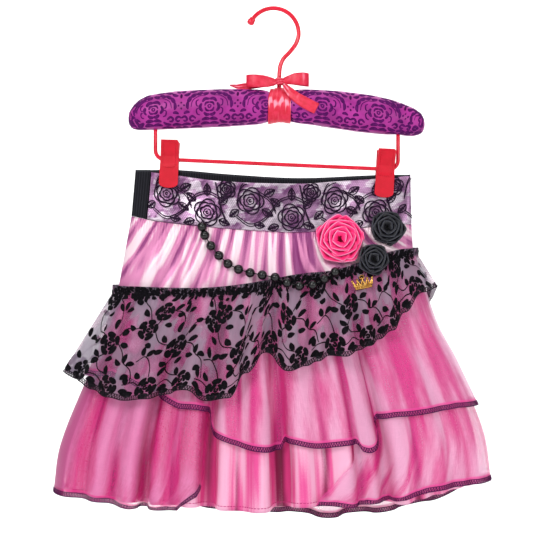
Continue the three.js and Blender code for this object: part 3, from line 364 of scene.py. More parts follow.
# Surfaces that stitches, flock and lace lie on
class Cloth:
    """A grid of cloth, columns by levels, reached by lengths along its hem and above it."""

    def __init__(self, grid, sideways=1.0):
        self.grid = grid
        steps = np.diff(grid[:, -1], axis=0) * np.array([1, sideways, 1])
        across = np.linalg.norm(steps, axis=1)
        self.along = np.concatenate([[0], np.cumsum(across)])
        drop = np.linalg.norm(np.diff(grid, axis=1), axis=2)
        self.down = np.concatenate([np.zeros((len(grid), 1)), np.cumsum(drop, axis=1)], axis=1)
        self.height = self.down[:, -1]
        run_down = np.gradient(grid, axis=1)
        run_across = np.gradient(grid, axis=0)
        normal = np.cross(run_down, run_across)
        self.normal = normal / (np.linalg.norm(normal, axis=2, keepdims=True) + 1e-9)
        self.rows = np.arange(0, self.height.max() + 1, 1.0)
        self.table = np.stack([self.column(c) for c in range(len(grid))])

    def column(self, c):
        up = (self.height[c] - self.down[c])[::-1]
        points = np.concatenate([self.grid[c], self.normal[c]], axis=1)[::-1]
        return np.stack([np.interp(self.rows, up, points[:, k]) for k in range(6)], axis=1)

    def room(self, u):
        """The height of the cloth above its hem at a length along it."""
        return np.interp(u, self.along, self.height)

    def place(self, u, up, out):
        """Points on the cloth, moved out from it."""
        c = np.interp(u, self.along, np.arange(len(self.along)))
        r = np.clip(up, 0, len(self.rows) - 1.001)
        c0 = np.minimum(c.astype(int), len(self.along) - 2)
        r0 = r.astype(int)
        fc = (c - c0)[..., None]
        fr = (r - r0)[..., None]
        low = lerp(self.table[c0, r0], self.table[c0 + 1, r0], fc)
        high = lerp(self.table[c0, r0 + 1], self.table[c0 + 1, r0 + 1], fc)
        found = lerp(low, high, fr)
        return found[..., :3] + found[..., 3:] * np.asarray(out)[..., None]


class Strokes:
    """Flat shapes drawn along lines on a cloth, three points across."""

    def __init__(self):
        self.points = []
        self.faces = []
        self.count = 0

    def add(self, line, widths, rise=0.5):
        line = np.asarray(line, float)
        run = np.gradient(line, axis=0)
        run /= np.linalg.norm(run, axis=1, keepdims=True) + 1e-9
        side = np.stack([-run[:, 1], run[:, 0]], axis=1) * (np.asarray(widths) / 2)[:, None]
        rows = np.stack([line - side, line, line + side], axis=1)
        outs = np.broadcast_to(np.array([0.12, rise, 0.12]), (len(line), 3))
        self.points.append(np.concatenate([rows, outs[..., None]], axis=2).reshape(-1, 3))
        k = self.count + 3 * np.arange(len(line) - 1)[:, None]
        self.faces.append(np.concatenate([k + [0, 3, 4, 1], k + [1, 4, 5, 2]]))
        self.count += 3 * len(line)

    def on(self, cloth, out, both=False):
        """The strokes' points and faces on a cloth, on its inner face too where that shows."""
        drawn = np.concatenate(self.points)
        faces = np.concatenate(self.faces)
        lift = out + drawn[:, 2]
        points = cloth.place(drawn[:, 0], drawn[:, 1], lift)
        if both:
            faces = np.concatenate([faces, faces[:, ::-1] + len(points)])
            inner = cloth.place(drawn[:, 0], drawn[:, 1], -lift)
            points = np.concatenate([points, inner])
        return points, faces


def curve(points, step):
    """A smooth line through points, with samples about a step apart."""
    points = np.asarray(points, float)
    gaps = np.linalg.norm(np.diff(points, axis=0), axis=1)
    at = np.concatenate([[0], np.cumsum(gaps)])
    places = np.linspace(0, at[-1], max(3, int(at[-1] / step) + 1))
    return np.stack([along(list(zip(at, points[:, k])), places) for k in range(points.shape[1])], 1)


def arc(x, y, radius, start, end, step=1.4):
    turn = abs(math.radians(end - start))
    angle = np.radians(np.linspace(start, end, max(5, int(turn * radius / step) + 1)))
    return np.stack([x + radius * np.cos(angle), y + radius * np.sin(angle)], axis=1)


# Meshes
def grid_faces(columns, levels):
    c = np.arange(columns - 1)
    level = np.arange(levels - 1)
    a = (c[:, None] * levels + level[None, :]).ravel()
    return np.stack([a, a + 1, a + levels + 1, a + levels], axis=1)


def ring_faces(rings, sides):
    """Faces round a solid made of rings of points, and its two ends."""
    faces = []
    for k in range(rings - 1):
        for s in range(sides):
            a = k * sides + s
            b = k * sides + (s + 1) % sides
            faces.append([a, b, b + sides, a + sides])
    faces.append(list(reversed(range(sides))))
    faces.append([(rings - 1) * sides + s for s in range(sides)])
    return faces


def linked(name, data):
    """An object in the scene for a mesh, a light or a camera."""
    made = bpy.data.objects.new(name, data)
    bpy.context.scene.collection.objects.link(made)
    return made


def add_piece(name, points, faces, paint, slot, nodes=(), chart=None):
    """A piece that rides on the one body, with its chart for the finish's patterns."""
    mesh = bpy.data.meshes.new(name)
    mesh.from_pydata((np.asarray(points) * MM).tolist(), [], [list(map(int, f)) for f in faces])
    mesh.validate()
    if chart is not None:
        held = mesh.attributes.new("chart", "FLOAT_VECTOR", "POINT")
        held.data.foreach_set("vector", np.asarray(chart, np.float32).ravel())
    mesh.shade_smooth()
    piece = linked(name, mesh)
    mesh.materials.append(paint)
    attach(piece, "root")
    if nodes:
        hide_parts(*nodes)
    return piece


def thicken(piece, thickness):
    solid = piece.modifiers.new("wall", "SOLIDIFY")
    solid.thickness = thickness * MM
    solid.offset = 0


def add_cloth(name, grid, paint, slot, node, fold=0.5, wall=0.0, sideways=1.0, from_hem=False):
    """A piece of cloth over a grid. Its chart holds the width, the drop and the fold."""
    columns, levels = grid.shape[:2]
    cloth = Cloth(grid, sideways)
    chart = np.zeros((columns, levels, 3))
    chart[..., 0] = cloth.along[:, None]
    chart[..., 1] = cloth.height[:, None] - cloth.down if from_hem else cloth.down
    chart[..., 2] = fold
    faces = grid_faces(columns, levels)
    piece = add_piece(name, grid.reshape(-1, 3), faces, paint, slot, [node], chart.reshape(-1, 3))
    if wall:
        thicken(piece, wall)
    return cloth


def add_strokes(name, strokes, cloth, paint, slot, out, both=False):
    add_piece(name, *strokes.on(cloth, out, both), paint, slot)


def tube(path, radii, sides):
    """Points and faces of a round bar along a path in the XZ plane."""
    path = np.asarray(path, float)
    run = np.gradient(path, axis=0)
    run /= np.linalg.norm(run, axis=1, keepdims=True)
    upward = np.cross(run, [0, 1, 0])
    upward /= np.linalg.norm(upward, axis=1, keepdims=True)
    depth = np.cross(upward, run)
    turn = 2 * math.pi * np.arange(sides) / sides
    radii = np.asarray(radii, float)[:, None, None]
    round_it = upward[:, None] * np.cos(turn)[:, None] + depth[:, None] * np.sin(turn)[:, None]
    points = (path[:, None] + radii * round_it).reshape(-1, 3)
    faces = []
    for k in range(len(path) - 1):
        for s in range(sides):
            a = k * sides + s
            b = k * sides + (s + 1) % sides
            faces.append([a, a + sides, b + sides, b])
    faces.append(list(range(sides)))
    faces.append([(len(path) - 1) * sides + s for s in reversed(range(sides))])
    return points, faces


def joined(parts):
    """Several sets of points and faces as one."""
    points = []
    faces = []
    count = 0
    for more_points, more_faces in parts:
        points.append(np.asarray(more_points, float))
        faces.extend([[int(i) + count for i in face] for face in more_faces])
        count += len(more_points)
    return np.concatenate(points), faces


# Finishes
class Value:
    """A socket of a finish, so that maths on it reads as an expression."""

    def __init__(self, finish, socket):
        self.finish = finish
        self.socket = socket

    def __add__(self, other):
        return self.finish.maths("ADD", self, other)

    __radd__ = __add__

    def __sub__(self, other):
        return self.finish.maths("SUBTRACT", self, other)

    def __rsub__(self, other):
        return self.finish.maths("SUBTRACT", other, self)

    def __mul__(self, other):
        return self.finish.maths("MULTIPLY", self, other)

    __rmul__ = __mul__

    def __truediv__(self, other):
        return self.finish.maths("DIVIDE", self, other)

    def __abs__(self):
        return self.finish.maths("ABSOLUTE", self)


def sine(value):
    return value.finish.maths("SINE", value)


def held(value):
    """A value kept between 0 and 1."""
    return value.finish.maths("MINIMUM", value.finish.maths("MAXIMUM", value, 0.0), 1.0)


def larger(value, other):
    return value.finish.maths("MAXIMUM", value, other)


def shade(red, green, blue):
    """A colour as seen, 0 to 255, in the linear values that sockets take."""
    parts = [part / 255 for part in (red, green, blue)]
    return (*[p / 12.92 if p < 0.04045 else ((p + 0.055) / 1.055) ** 2.4 for p in parts], 1)


class Finish:
    """A procedural material under construction."""

    def __init__(self, name):
        self.material = bpy.data.materials.new(name)
        self.material.use_nodes = True
        self.tree = self.material.node_tree
        self.tree.nodes.clear()

    def node(self, kind, settings=None, inputs=None, output=0):
        """Adds a node: its settings, then the values or links of its sockets."""
        made = self.tree.nodes.new(kind)
        for key, value in (settings or {}).items():
            setattr(made, key, value)
        for key, value in (inputs or {}).items():
            if isinstance(value, Value):
                self.tree.links.new(value.socket, made.inputs[key])
            else:
                made.inputs[key].default_value = value
        return Value(self, made.outputs[output]) if made.outputs else None

    def maths(self, operation, *values):
        return self.node("ShaderNodeMath", {"operation": operation}, dict(enumerate(values)))

    def chart(self):
        """The piece's chart: along the cloth, down it, and its fold."""
        vector = self.node("ShaderNodeAttribute", {"attribute_name": "chart"}, output="Vector")
        return [self.node("ShaderNodeSeparateXYZ", {}, {0: vector}, k) for k in range(3)]

    def place(self):
        """The point's own place on the object, in millimetres."""
        vector = self.node("ShaderNodeTexCoord", output="Object")
        return [self.node("ShaderNodeSeparateXYZ", {}, {0: vector}, k) * 1000 for k in range(3)]

    def noise(self, x, y, z, detail, roughness=0.55):
        """Soft noise at a place, mostly between 0.3 and 0.7."""
        vector = self.node("ShaderNodeCombineXYZ", {}, {0: x, 1: y, 2: z})
        inputs = {"Vector": vector, "Scale": 1.0, "Detail": detail, "Roughness": roughness}
        return self.node("ShaderNodeTexNoise", {"noise_dimensions": "3D"}, inputs, "Fac")

    def steps(self, value, low, high):
        """0 below low, 1 above high, smooth in between."""
        settings = {"interpolation_type": "SMOOTHSTEP"}
        return self.node("ShaderNodeMapRange", settings, {0: value, 1: low, 2: high})

    def mix(self, first, second, share):
        settings = {"data_type": "RGBA"}
        return self.node("ShaderNodeMix", settings, {0: share, 6: first, 7: second}, 2)

    def bump(self, height, strength=0.3, distance=0.0003):
        inputs = {"Height": height, "Strength": strength, "Distance": distance}
        return self.node("ShaderNodeBump", {}, inputs)

    def done(self, **sockets):
        """Closes the finish with its surface and returns the material."""
        inputs = {key.replace("_", " "): value for key, value in sockets.items()}
        surface = self.node("ShaderNodeBsdfPrincipled", {}, inputs)
        self.node("ShaderNodeOutputMaterial", {}, {"Surface": surface})
        return self.material


def satin_finish(name, deep, middle, light, roughness=0.36, sheen=0.8):
    """Woven satin: painted shade only in its deep folds, and a painted sheen of wide soft patches and a
    few bright bands.
    """
    finish = Finish(name)
    u, v, fold = finish.chart()
    wide = finish.noise(u / 24, v / 170, 0.0, 2.0, 0.4)
    narrow = finish.noise(u / 7, v / 150, 4.0, 2.0, 0.5)
    grain = finish.noise(u / 1.1, v / 1.6, 7.0, 2.0, 0.7)
    weave = sine(u * 5.2) * sine(v * 4.4)
    # Painted shade: the deep colour fills only the valleys of the folds.
    body = finish.mix(deep, middle, finish.steps(fold + (wide - 0.5) * 0.3, 0.04, 0.34))
    # Painted highlight: soft patches and narrow bands of the light colour, a little more on the crests.
    painted_sheen = wide * 0.62 + narrow * 0.38 + (fold - 0.5) * 0.12 + (grain - 0.5) * 0.08
    colour = finish.mix(body, light, finish.steps(painted_sheen, 0.44, 0.62) * sheen)
    bump = finish.bump(weave * 0.3 + grain * 0.6 + narrow * 1.2, 0.3, 0.0004)
    rough = roughness + (grain - 0.5) * 0.14
    return finish.done(
        Base_Color=colour, Metallic=0.12, Roughness=rough, Normal=bump,
        Specular_IOR_Level=0.35,
    )


def gathered_finish(name, deep, middle, light):
    """Foiled satin in gathers: painted shade in the creases, pink on their sides, a painted white
    highlight on top.
    """
    finish = Finish(name)
    u, v, fold = finish.chart()
    narrow = finish.noise(u / 4, v / 110, 4.0, 2.0, 0.5)
    grain = finish.noise(u / 1.0, v / 2.0, 7.0, 2.0, 0.7)
    height = fold + (narrow - 0.5) * 0.22 + (grain - 0.5) * 0.1
    # Painted shade in the creases, and a painted white highlight on the tops of the gathers.
    body = finish.mix(deep, middle, finish.steps(height, 0.2, 0.4))
    colour = finish.mix(body, light, finish.steps(height, 0.46, 0.68))
    bump = finish.bump(narrow * 2 + grain * 0.5, 0.3, 0.0004)
    return finish.done(
        Base_Color=colour, Metallic=0.15, Roughness=0.36 + (grain - 0.5) * 0.14, Normal=bump,
        Specular_IOR_Level=0.35,
    )


def foil_finish(name, deep, middle, light, size, metallic=0.35, roughness=0.3):
    """Foiled satin whose painted sheen breaks into soft tilted patches."""
    finish = Finish(name)
    u, v, fold = finish.chart()
    patch = finish.noise((u - v * 0.5) / (size * 1.6), (v + u * 0.25) / size, 0.0, 3.0, 0.5)
    other = finish.noise((u + v * 0.7) / size, v / (size * 1.4), 8.0, 2.0)
    grain = finish.noise(u / 1.2, v / 1.2, 5.0, 2.0, 0.7)
    # Random darker and lighter patches, a little darker where the fold chart is low.
    body = finish.mix(deep, middle, finish.steps(other + (fold - 0.5) * 0.2, 0.36, 0.56))
    # Painted highlight: soft tilted patches of the light colour.
    painted_sheen = finish.steps(patch + (grain - 0.5) * 0.12, 0.48, 0.56)
    colour = finish.mix(body, light, painted_sheen * 0.92)
    bump = finish.bump(patch * 2 + other * 2 + grain * 0.5, 0.35, 0.0006)
    rough = roughness + (grain - 0.5) * 0.12
    return finish.done(
        Base_Color=colour, Metallic=metallic, Roughness=rough, Normal=bump,
        Specular_IOR_Level=0.35,
    )


def sheer_finish(name, colour, pale, cover, edge=None):
    """Sheer organza, double at its hem, with a painted sheen in long soft pale patches; `edge` is a smoky
    strip: its width and colour.
    """
    finish = Finish(name)
    u, v, fold = finish.chart()
    threads = finish.noise(u / 1.3, v / 9, 2.0, 2.0, 0.7)
    weft = finish.noise(u / 12, v / 1.2, 5.0, 2.0, 0.7)
    sheen_and_milky_noise = finish.noise(u / 25, v / 170, 9.0, 2.0, 0.45)
    # Painted highlight: patches where the organza turns pale and a little more opaque.
    painted_sheen = finish.steps(sheen_and_milky_noise + (fold - 0.5) * 0.12 + (threads - 0.5) * 0.08, 0.4, 0.62)
    hem = finish.steps(v, 8.5, 7.0)
    alpha = cover + (threads - 0.5) * 0.14 + (weft - 0.5) * 0.1 + painted_sheen * 0.12 + hem * 0.3
    tint = finish.mix(colour, pale, painted_sheen * (1 - hem * 0.85))
    if edge:
        strip = finish.steps(u, edge[0], edge[0] * 0.75)
        tint = finish.mix(tint, edge[1], strip * 0.8)
        alpha = alpha + strip * 0.5
    bump = finish.bump(threads + weft, 0.25, 0.0003)
    return finish.done(
        Base_Color=tint, Alpha=held(alpha), Roughness=0.42, Normal=bump,
        Specular_IOR_Level=0.3,
    )


def ruffle_finish(name):
    """Grey-lilac organza, milky where it lies double, with painted shade in its valleys, and dark along
    its gathered heading.
    """
    finish = Finish(name)
    u, v, fold = finish.chart()
    threads = finish.noise(u / 1.2, v / 8, 2.0, 2.0, 0.7)
    sheen_and_milky_noise = finish.noise(u / 19, v / 34, 9.0, 2.0, 0.45)
    gathers = finish.noise(u / 2.2, v / 7, 4.0, 2.0, 0.6)
    milky = finish.steps(sheen_and_milky_noise + (fold - 0.5) * 0.3, 0.44, 0.6)
    heading = finish.steps(v, 12.0, 7.5)
    crowded = heading * (0.45 + finish.steps(gathers, 0.36, 0.56) * 0.55)
    # Painted shade: the valleys turn darker and a little more opaque.
    painted_valley_shade = finish.steps(fold, 0.42, 0.1)
    tint = finish.mix(shade(160, 92, 138), shade(138, 124, 142), milky)
    tint = finish.mix(tint, shade(92, 68, 92), painted_valley_shade * 0.8)
    colour = finish.mix(tint, shade(40, 32, 44), crowded)
    alpha = 0.3 + milky * 0.34 + (threads - 0.5) * 0.2 + crowded * 0.6 + painted_valley_shade * 0.16
    bump = finish.bump(threads + gathers, 0.25, 0.0003)
    return finish.done(
        Base_Color=colour, Alpha=held(alpha), Roughness=0.5, Normal=bump,
        Specular_IOR_Level=0.25,
    )


def plain_finish(name, dark, light, size, roughness, metallic=0.0, bumps=0.2, **more):
    """A moulded, coated or matt surface with a slight unevenness of its own."""
    finish = Finish(name)
    x, y, z = finish.place()
    cloud = finish.noise(x / size, y / size, z / size, 4.0, 0.6)
    fine = finish.noise(x / 0.7, y / 0.7, z / 0.7, 2.0)
    colour = finish.mix(dark, light, finish.steps(cloud, 0.3, 0.7))
    bump = finish.bump(fine + cloud, bumps, 0.0003)
    rough = roughness + (cloud - 0.5) * 0.12
    return finish.done(Base_Color=colour, Roughness=rough, Metallic=metallic, Normal=bump, **more)


def elastic_finish():
    """Black woven elastic, ribbed up its height, with a paler rolled edge at the top."""
    finish = Finish("ribbed_elastic")
    u, v, fold = finish.chart()
    ribs = 0.5 + sine(u * 2.4) * 0.5
    weft = finish.noise(u / 2, v / 0.8, 3.0, 2.0, 0.7)
    body = finish.mix(shade(16, 16, 20), shade(34, 34, 41), ribs)
    edge = finish.steps(v, 2.6, 1.6)
    colour = finish.mix(body, shade(48, 50, 54), edge * 0.8)
    bump = finish.bump(ribs * 1.5 + weft, 0.5, 0.0004)
    return finish.done(
        Base_Color=colour, Roughness=0.85, Normal=bump, Specular_IOR_Level=0.15
    )


# Pink satin: its darkest colour is painted shade for the fold valleys, its palest a painted highlight.
PINK_SATIN = satin_finish(
    "pink_satin", shade(120, 2, 62), shade(226, 78, 148), shade(242, 190, 216)
)
# In both organzas the pale colour is a painted sheen.
PINK_ORGANZA = sheer_finish("pink_organza", shade(224, 62, 146), shade(241, 178, 213), 0.48)
SMOKY_ORGANZA = sheer_finish(
    "smoky_pink_organza", shade(210, 42, 128), shade(228, 132, 184), 0.5,
    (29, shade(158, 52, 106)),
)
RUFFLE_ORGANZA = ruffle_finish("ruffle_organza")
# Hip tier: the darkest colour is painted shade in its creases, the palest a painted highlight on top.
PALE_METALLIC = gathered_finish(
    "pale_metallic", shade(138, 56, 116), shade(204, 124, 168), shade(234, 208, 218)
)
# The yoke's palest colour is a painted highlight in patches.
MAUVE_SATIN = foil_finish(
    "mauve_satin", shade(132, 80, 128), shade(188, 142, 182), shade(240, 224, 238), 13
)
BLACK_LACE = plain_finish(
    "black_lace", shade(26, 14, 30), shade(46, 28, 50), 3, 0.9, Specular_IOR_Level=0.1
)
FLOCK = plain_finish(
    "black_flock", shade(6, 5, 8), shade(20, 17, 22), 2, 0.95, bumps=0.5,
    Specular_IOR_Level=0.08,
)
SERGING = plain_finish(
    "serging_thread", shade(50, 10, 50), shade(88, 26, 82), 2, 0.8, Specular_IOR_Level=0.15
)
BLACK_THREAD = plain_finish(
    "black_thread", shade(12, 10, 14), shade(40, 34, 42), 2, 0.85, Specular_IOR_Level=0.1
)
ELASTIC = elastic_finish()
BEAD = plain_finish(
    "black_bead", shade(1, 1, 2), shade(4, 4, 6), 5, 0.1, bumps=0, Specular_IOR_Level=0.5
)
GOLD = plain_finish("gold_metal", shade(164, 112, 48), shade(212, 166, 92), 4, 0.2, 1.0)
RED_COATING = plain_finish("red_coating", shade(200, 4, 36), shade(220, 16, 52), 12, 0.14)
RED_PLASTIC = plain_finish(
    "red_plastic", shade(188, 4, 32), shade(202, 8, 40), 14, 0.42, Specular_IOR_Level=0.25
)
DAMASK_SATIN = plain_finish(
    "damask_satin", shade(138, 20, 118), shade(170, 42, 144), 20, 0.42, Specular_IOR_Level=0.3
)

# Upper skirt
def pinch_height(x):
    """How far down the clips hold the cloth flat."""
    return lerp(PINCH_LEFT, PINCH_RIGHT, (x - CLIP_LEFT) / (CLIP_RIGHT - CLIP_LEFT))


def upper_grid(waist_rows, yoke_rows, top, share, out=0):
    """Columns from the waist to the yoke seam, flat where the clips pinch the cloth."""
    table = [row[0] for row in waist_rows]
    below = [row[0] for row in yoke_rows]
    order = 1 if table[-1] > table[0] else -1
    moved = np.interp(order * share, order * np.array(table), below)
    waist_x, waist_y, _ = plan_at(waist_rows, share)
    seam_x, seam_y, _ = plan_at(yoke_rows, moved)
    pinch = pinch_height(waist_x)[:, None]
    seam_z = (along(YOKE_SEAM, seam_x) + SEAM_GAP / 2)[:, None]
    top_z = along(top, waist_x)[:, None]
    fall = np.linspace(0, 1, UPPER_LEVELS)[None, :]
    z = lerp(top_z, seam_z, fall)
    spread = smooth((pinch - z) / (pinch - seam_z))
    x = lerp(waist_x[:, None], seam_x[:, None], fall)
    y = lerp(waist_y[:, None], seam_y[:, None], spread)
    x, y = moved_out(x, y, out)
    return np.stack([x, y, z], axis=2)


YOKE_STEPS = 14
BAND_STEPS = 10
UPPER_LEVELS = 34
LACE_OUT = 1.4
yoke_share = shares(WAIST_RING, YOKE_STEPS)
yoke_share = yoke_share[yoke_share >= WAIST_RING[1][0]]
yoke_grid = upper_grid(WAIST_RING, YOKE_RING, YOKE_TOP, yoke_share)
yoke_grid = square_sides(yoke_grid, FRONT, at_start=False)
add_cloth(
    "yoke_front_cloth", yoke_grid, MAUVE_SATIN, "mauve_satin", "yoke_front",
    0.5 + 0.5 * ripples(yoke_grid[..., 0], yoke_grid[..., 2], 3, 40, 0.5), SATIN_WALL,
)
lace_grid = upper_grid(WAIST_RING, YOKE_RING, YOKE_TOP, yoke_share, LACE_OUT)
lace_grid = square_sides(lace_grid, FRONT, at_start=False)

band_share = shares(BACK_WAIST_RING, BAND_STEPS)
band_grid = upper_grid(BACK_WAIST_RING, BACK_YOKE_RING, ELASTIC_TOP, band_share)
turn_share = np.linspace(WAIST_RING[0][0], WAIST_RING[1][0] - 0.9, YOKE_STEPS)
turn_grid = upper_grid(WAIST_RING, YOKE_RING, ELASTIC_TOP, turn_share)
band_grid = square_sides(np.concatenate([band_grid[:-1], turn_grid]), BACK, at_end=False)
add_cloth("waist_elastic_band", band_grid, ELASTIC, "black_elastic", "waist_elastic", wall=1.0)


# Hip tier
HIP_COLUMNS = 420
HIP_LEVELS = 30


def hip_grid(side, columns, levels):
    """The gathered tier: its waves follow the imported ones, its small folds are uneven."""
    share = np.linspace(-1, 1, columns)
    share = (np.sign(share) * (1 - (1 - np.abs(share)) ** 1.15))[:, None]
    fall = np.linspace(0, 1, levels)[None, :]
    top_x = lerp(YOKE_RING[0][0], YOKE_RING[-1][0], (share + 1) / 2)
    low_x = DROP_MIDDLE + DROP_HALF * share
    seam = DROP_SEAM if side == FRONT else DROP_SEAM_BACK
    top_z = along(YOKE_SEAM, top_x) - SEAM_GAP / 2
    low_z = along(seam, low_x) + SEAM_GAP / 2
    edge = smooth(np.minimum(share + 1, 1 - share) * 6)
    growth = np.sin(math.pi * np.clip(0.12 + 0.75 * fall, 0, 1))
    phase = GATHER_WAVES * math.pi * (share + 1) + 2 * np.sin(5 * share)
    wave = np.cos(phase + 1.6 * (fall - 0.5) * share)
    place = 150 * share - 38 * fall * (share + 0.1)
    broad = ripples(place, 24 * fall, 31 + side, 19, 0.08)
    fine = ripples(place, 24 * fall, 41 + side, 8, 0.08) * (1 - 0.75 * fall)
    shape = 0.15 * wave + 0.95 * broad + 0.5 * fine
    pucker = 0.5 * np.exp(-fall * 9) * np.cos(6.1 * phase)
    depth = lerp(10, SEAM_DEPTH, fall) * oval(share)
    depth = depth + GATHER_DEPTH * edge * (growth * shape + pucker)
    grid = np.stack([lerp(top_x, low_x, fall), side * depth, lerp(top_z, low_z, fall)], axis=2)
    # The fold chart, from the relief, sets the painted shade and highlight; a painted shade patch darkens
    # the front near x = 30.
    painted_shade_patch = 0.3 * np.exp(-(((grid[..., 0] - 30) / 15) ** 2)) if side == FRONT else 0
    fold = np.clip(0.5 + 0.4 * shape - 0.25 * pucker - painted_shade_patch, 0, 1)
    return (grid, fold) if side == FRONT else (grid[::-1], fold[::-1])


for node, side in (("hip_front", FRONT), ("hip_back", BACK)):
    grid, fold = hip_grid(side, HIP_COLUMNS, HIP_LEVELS)
    square_sides(grid, side)
    add_cloth(node + "_cloth", grid, PALE_METALLIC, "pale_metallic", node, fold, SATIN_WALL)


# Satin skirt and the sheer layers over it
def creased(grid, fold, seed, size, pitch):
    """Adds soft creases to a layer, none at its seam and sides."""
    cloth = Cloth(grid)
    u = cloth.along[:, None]
    v = cloth.down
    width = cloth.along[-1]
    edge = smooth(np.minimum(u, width - u) / 30)
    growth = smooth(v / 90)
    wave = ripples(u, v, seed, pitch)
    amount = size * edge * growth * wave
    # The fold chart moves with the creases, so the painted shade and highlight follow them.
    return grid + cloth.normal * amount[..., None], np.clip(fold + 0.1 * wave, 0, 1)


def add_layer(node, rows, lift, hem, paint, edges=None):
    """A layer from the drop seam down: satin with a wall, or sheer, open where it has edges."""
    front = rows is HEM_FRONT
    satin = paint is PINK_SATIN
    grid, fold = layer_grid(rows, lift, hem, DROP_SEAM if front else DROP_SEAM_BACK, edges)
    ends = (edges is None or edges[0] == HEM_LEFT, edges is None or edges[1] == HEM_RIGHT)
    square_sides(grid, FRONT if front else BACK, *ends)
    grid, fold = creased(grid, fold, 11 if front else 12, *LAYER_CREASE)
    slot = "pink_satin" if satin else "pink_organza"
    wall = SATIN_WALL if satin else 0
    return add_cloth(node + "_cloth", grid, paint, slot, node, fold, wall, from_hem=True)


# Where the long sheer panels' free edges run: share of the fall, place along the hem
LEFT_EDGE = [(0, -70), (0.84, -70), (0.93, -79), (1, -95)]
RIGHT_EDGE = [(0, 84), (0.7, 84), (0.82, 76), (1, 40)]

# Each layer: the satin's hem that it follows, its lift, its own hem, its cloth, its free edges
LAYERS = {
    "underskirt_front": (HEM_FRONT, NO_LIFT, None, PINK_SATIN),
    "underskirt_back": (HEM_BACK, NO_LIFT, None, PINK_SATIN),
    "overskirt_long_left": (
        HEM_FRONT, LONG_LIFT, LONG_HEM, SMOKY_ORGANZA, (HEM_LEFT, LEFT_EDGE),
    ),
    "overskirt_long_right": (
        HEM_FRONT, LONG_LIFT, LONG_HEM, PINK_ORGANZA, (RIGHT_EDGE, HEM_RIGHT),
    ),
    "overskirt_long_back": (HEM_BACK, LONG_LIFT, LONG_HEM_BACK, PINK_ORGANZA),
    "overskirt_short_front": (HEM_FRONT, SHORT_LIFT, SHORT_HEM, PINK_ORGANZA),
    "overskirt_short_back": (HEM_BACK, SHORT_LIFT, SHORT_HEM_BACK, PINK_ORGANZA),
}
layers = {node: add_layer(node, *layer) for node, layer in LAYERS.items()}


# Ruffle: its grid, its frill above the stitches, and how far out it may stand at the sides
RUFFLE_STEPS = 10
RUFFLE_LEVELS = 34
FRILL_LEVELS = 5
FRILL_HEIGHT = 8.5
RUFFLE_LEFT = -235
RUFFLE_RIGHT = 231


def ruffle_grid(rows, side, seam_rows, heading_rows, hem_rows):
    """The ruffle: a frill up from its row of stitches, and deep waves down to its hem."""
    plan = [(x, side * (wave + 1), z, roll) for x, wave, z, roll in rows]
    plan[0] = (plan[0][0], 0, *plan[0][2:])
    plan[-1] = (plan[-1][0], 0, *plan[-1][2:])
    share = shares(plan, RUFFLE_STEPS)
    plan_x, plan_y, plan_z = plan_at(plan, share)
    way = (share - share[0]) / (share[-1] - share[0])
    across = 2 * way - 1 if side == FRONT else 1 - 2 * way
    stitch_x = DROP_MIDDLE + (DROP_HALF + 3 * LAYER_STEP + 1.2) * across
    stitch_z = along(seam_rows, stitch_x)
    head_z = along(heading_rows, stitch_x) if heading_rows else stitch_z + FRILL_HEIGHT
    stitch_depth = SEAM_DEPTH + 3 * LAYER_STEP + 0.8
    sides = smooth(np.minimum(across + 1, 1 - across) * 8)
    turns = np.arange(len(share)) / RUFFLE_STEPS * 2 * math.pi
    frill = 1.6 * sides * np.sin(turns + 0.7 * np.sin(0.37 * turns))
    frill += 0.8 * sides * np.sin(2.7 * turns + 1)
    columns = []
    for head in np.linspace(0, 1, FRILL_LEVELS, endpoint=False):
        depth = stitch_depth * oval(across, 5) + (1 - head) * (sides * 1.6 + frill)
        columns.append(np.stack([stitch_x, side * depth, lerp(head_z, stitch_z, head)], 1))
    for level in np.linspace(0, 1, RUFFLE_LEVELS) ** 1.15:
        z = lerp(stitch_z, plan_z, level)
        fall = np.clip((stitch_z - z) / (stitch_z - along(hem_rows, stitch_x)), 0, 1)
        x = lerp(stitch_x, plan_x, level)
        flare = along(FLARE, fall)
        left = lerp(DROP_LEFT - 8, RUFFLE_LEFT, flare)
        right = lerp(DROP_RIGHT + 8, RUFFLE_RIGHT, flare)
        depth = lerp(stitch_depth, LAYER_DEPTH, along(FOLD_GROWTH, fall))
        bound = depth * oval((2 * (x - left)) / (right - left) - 1, 6)
        wave = np.abs(plan_y) * smooth(level * 1.2)
        gathers = 0.9 * sides * np.sin(turns * 1.5 + 2) * (1 - smooth(level * 1.4))
        columns.append(np.stack([x, side * (bound + wave + gathers), z], 1))
    fold = crest_share(plan, share)[:, None] * np.ones(RUFFLE_LEVELS + FRILL_LEVELS)
    return np.stack(columns, axis=1), fold


def hem_heights(rows):
    return sorted((row[0], row[2]) for row in rows)


def add_ruffle(node, rows, side, seam_rows, heading_rows, hem_rows, seed):
    grid, fold = ruffle_grid(rows, side, seam_rows, heading_rows, hem_heights(hem_rows))
    square_sides(grid, side)
    grid, fold = creased(grid, fold, seed, *RUFFLE_CREASE)
    return add_cloth(
        node + "_cloth", grid, RUFFLE_ORGANZA, "flocked_organza", node, fold, sideways=0.45
    )


ruffles = {
    "ruffle_front": add_ruffle(
        "ruffle_front", RUFFLE_FRONT, FRONT, DROP_SEAM, HEADING_TOP, HEM_FRONT, 21
    ),
    "ruffle_back": add_ruffle(
        "ruffle_back", RUFFLE_BACK, BACK, DROP_SEAM_BACK, None, HEM_BACK, 22
    ),
}

# Trims drawn on the cloth: flock, lace, overlocked hems and damask
def bulge(line, width, low=0.35):
    """Widths of a stroke that is full in its middle and narrow at its ends."""
    t = np.linspace(0, 1, len(line))
    return width * (low + (1 - low) * np.sin(math.pi * t) ** 0.7)


def even(line, width):
    return np.full(len(line), float(width))


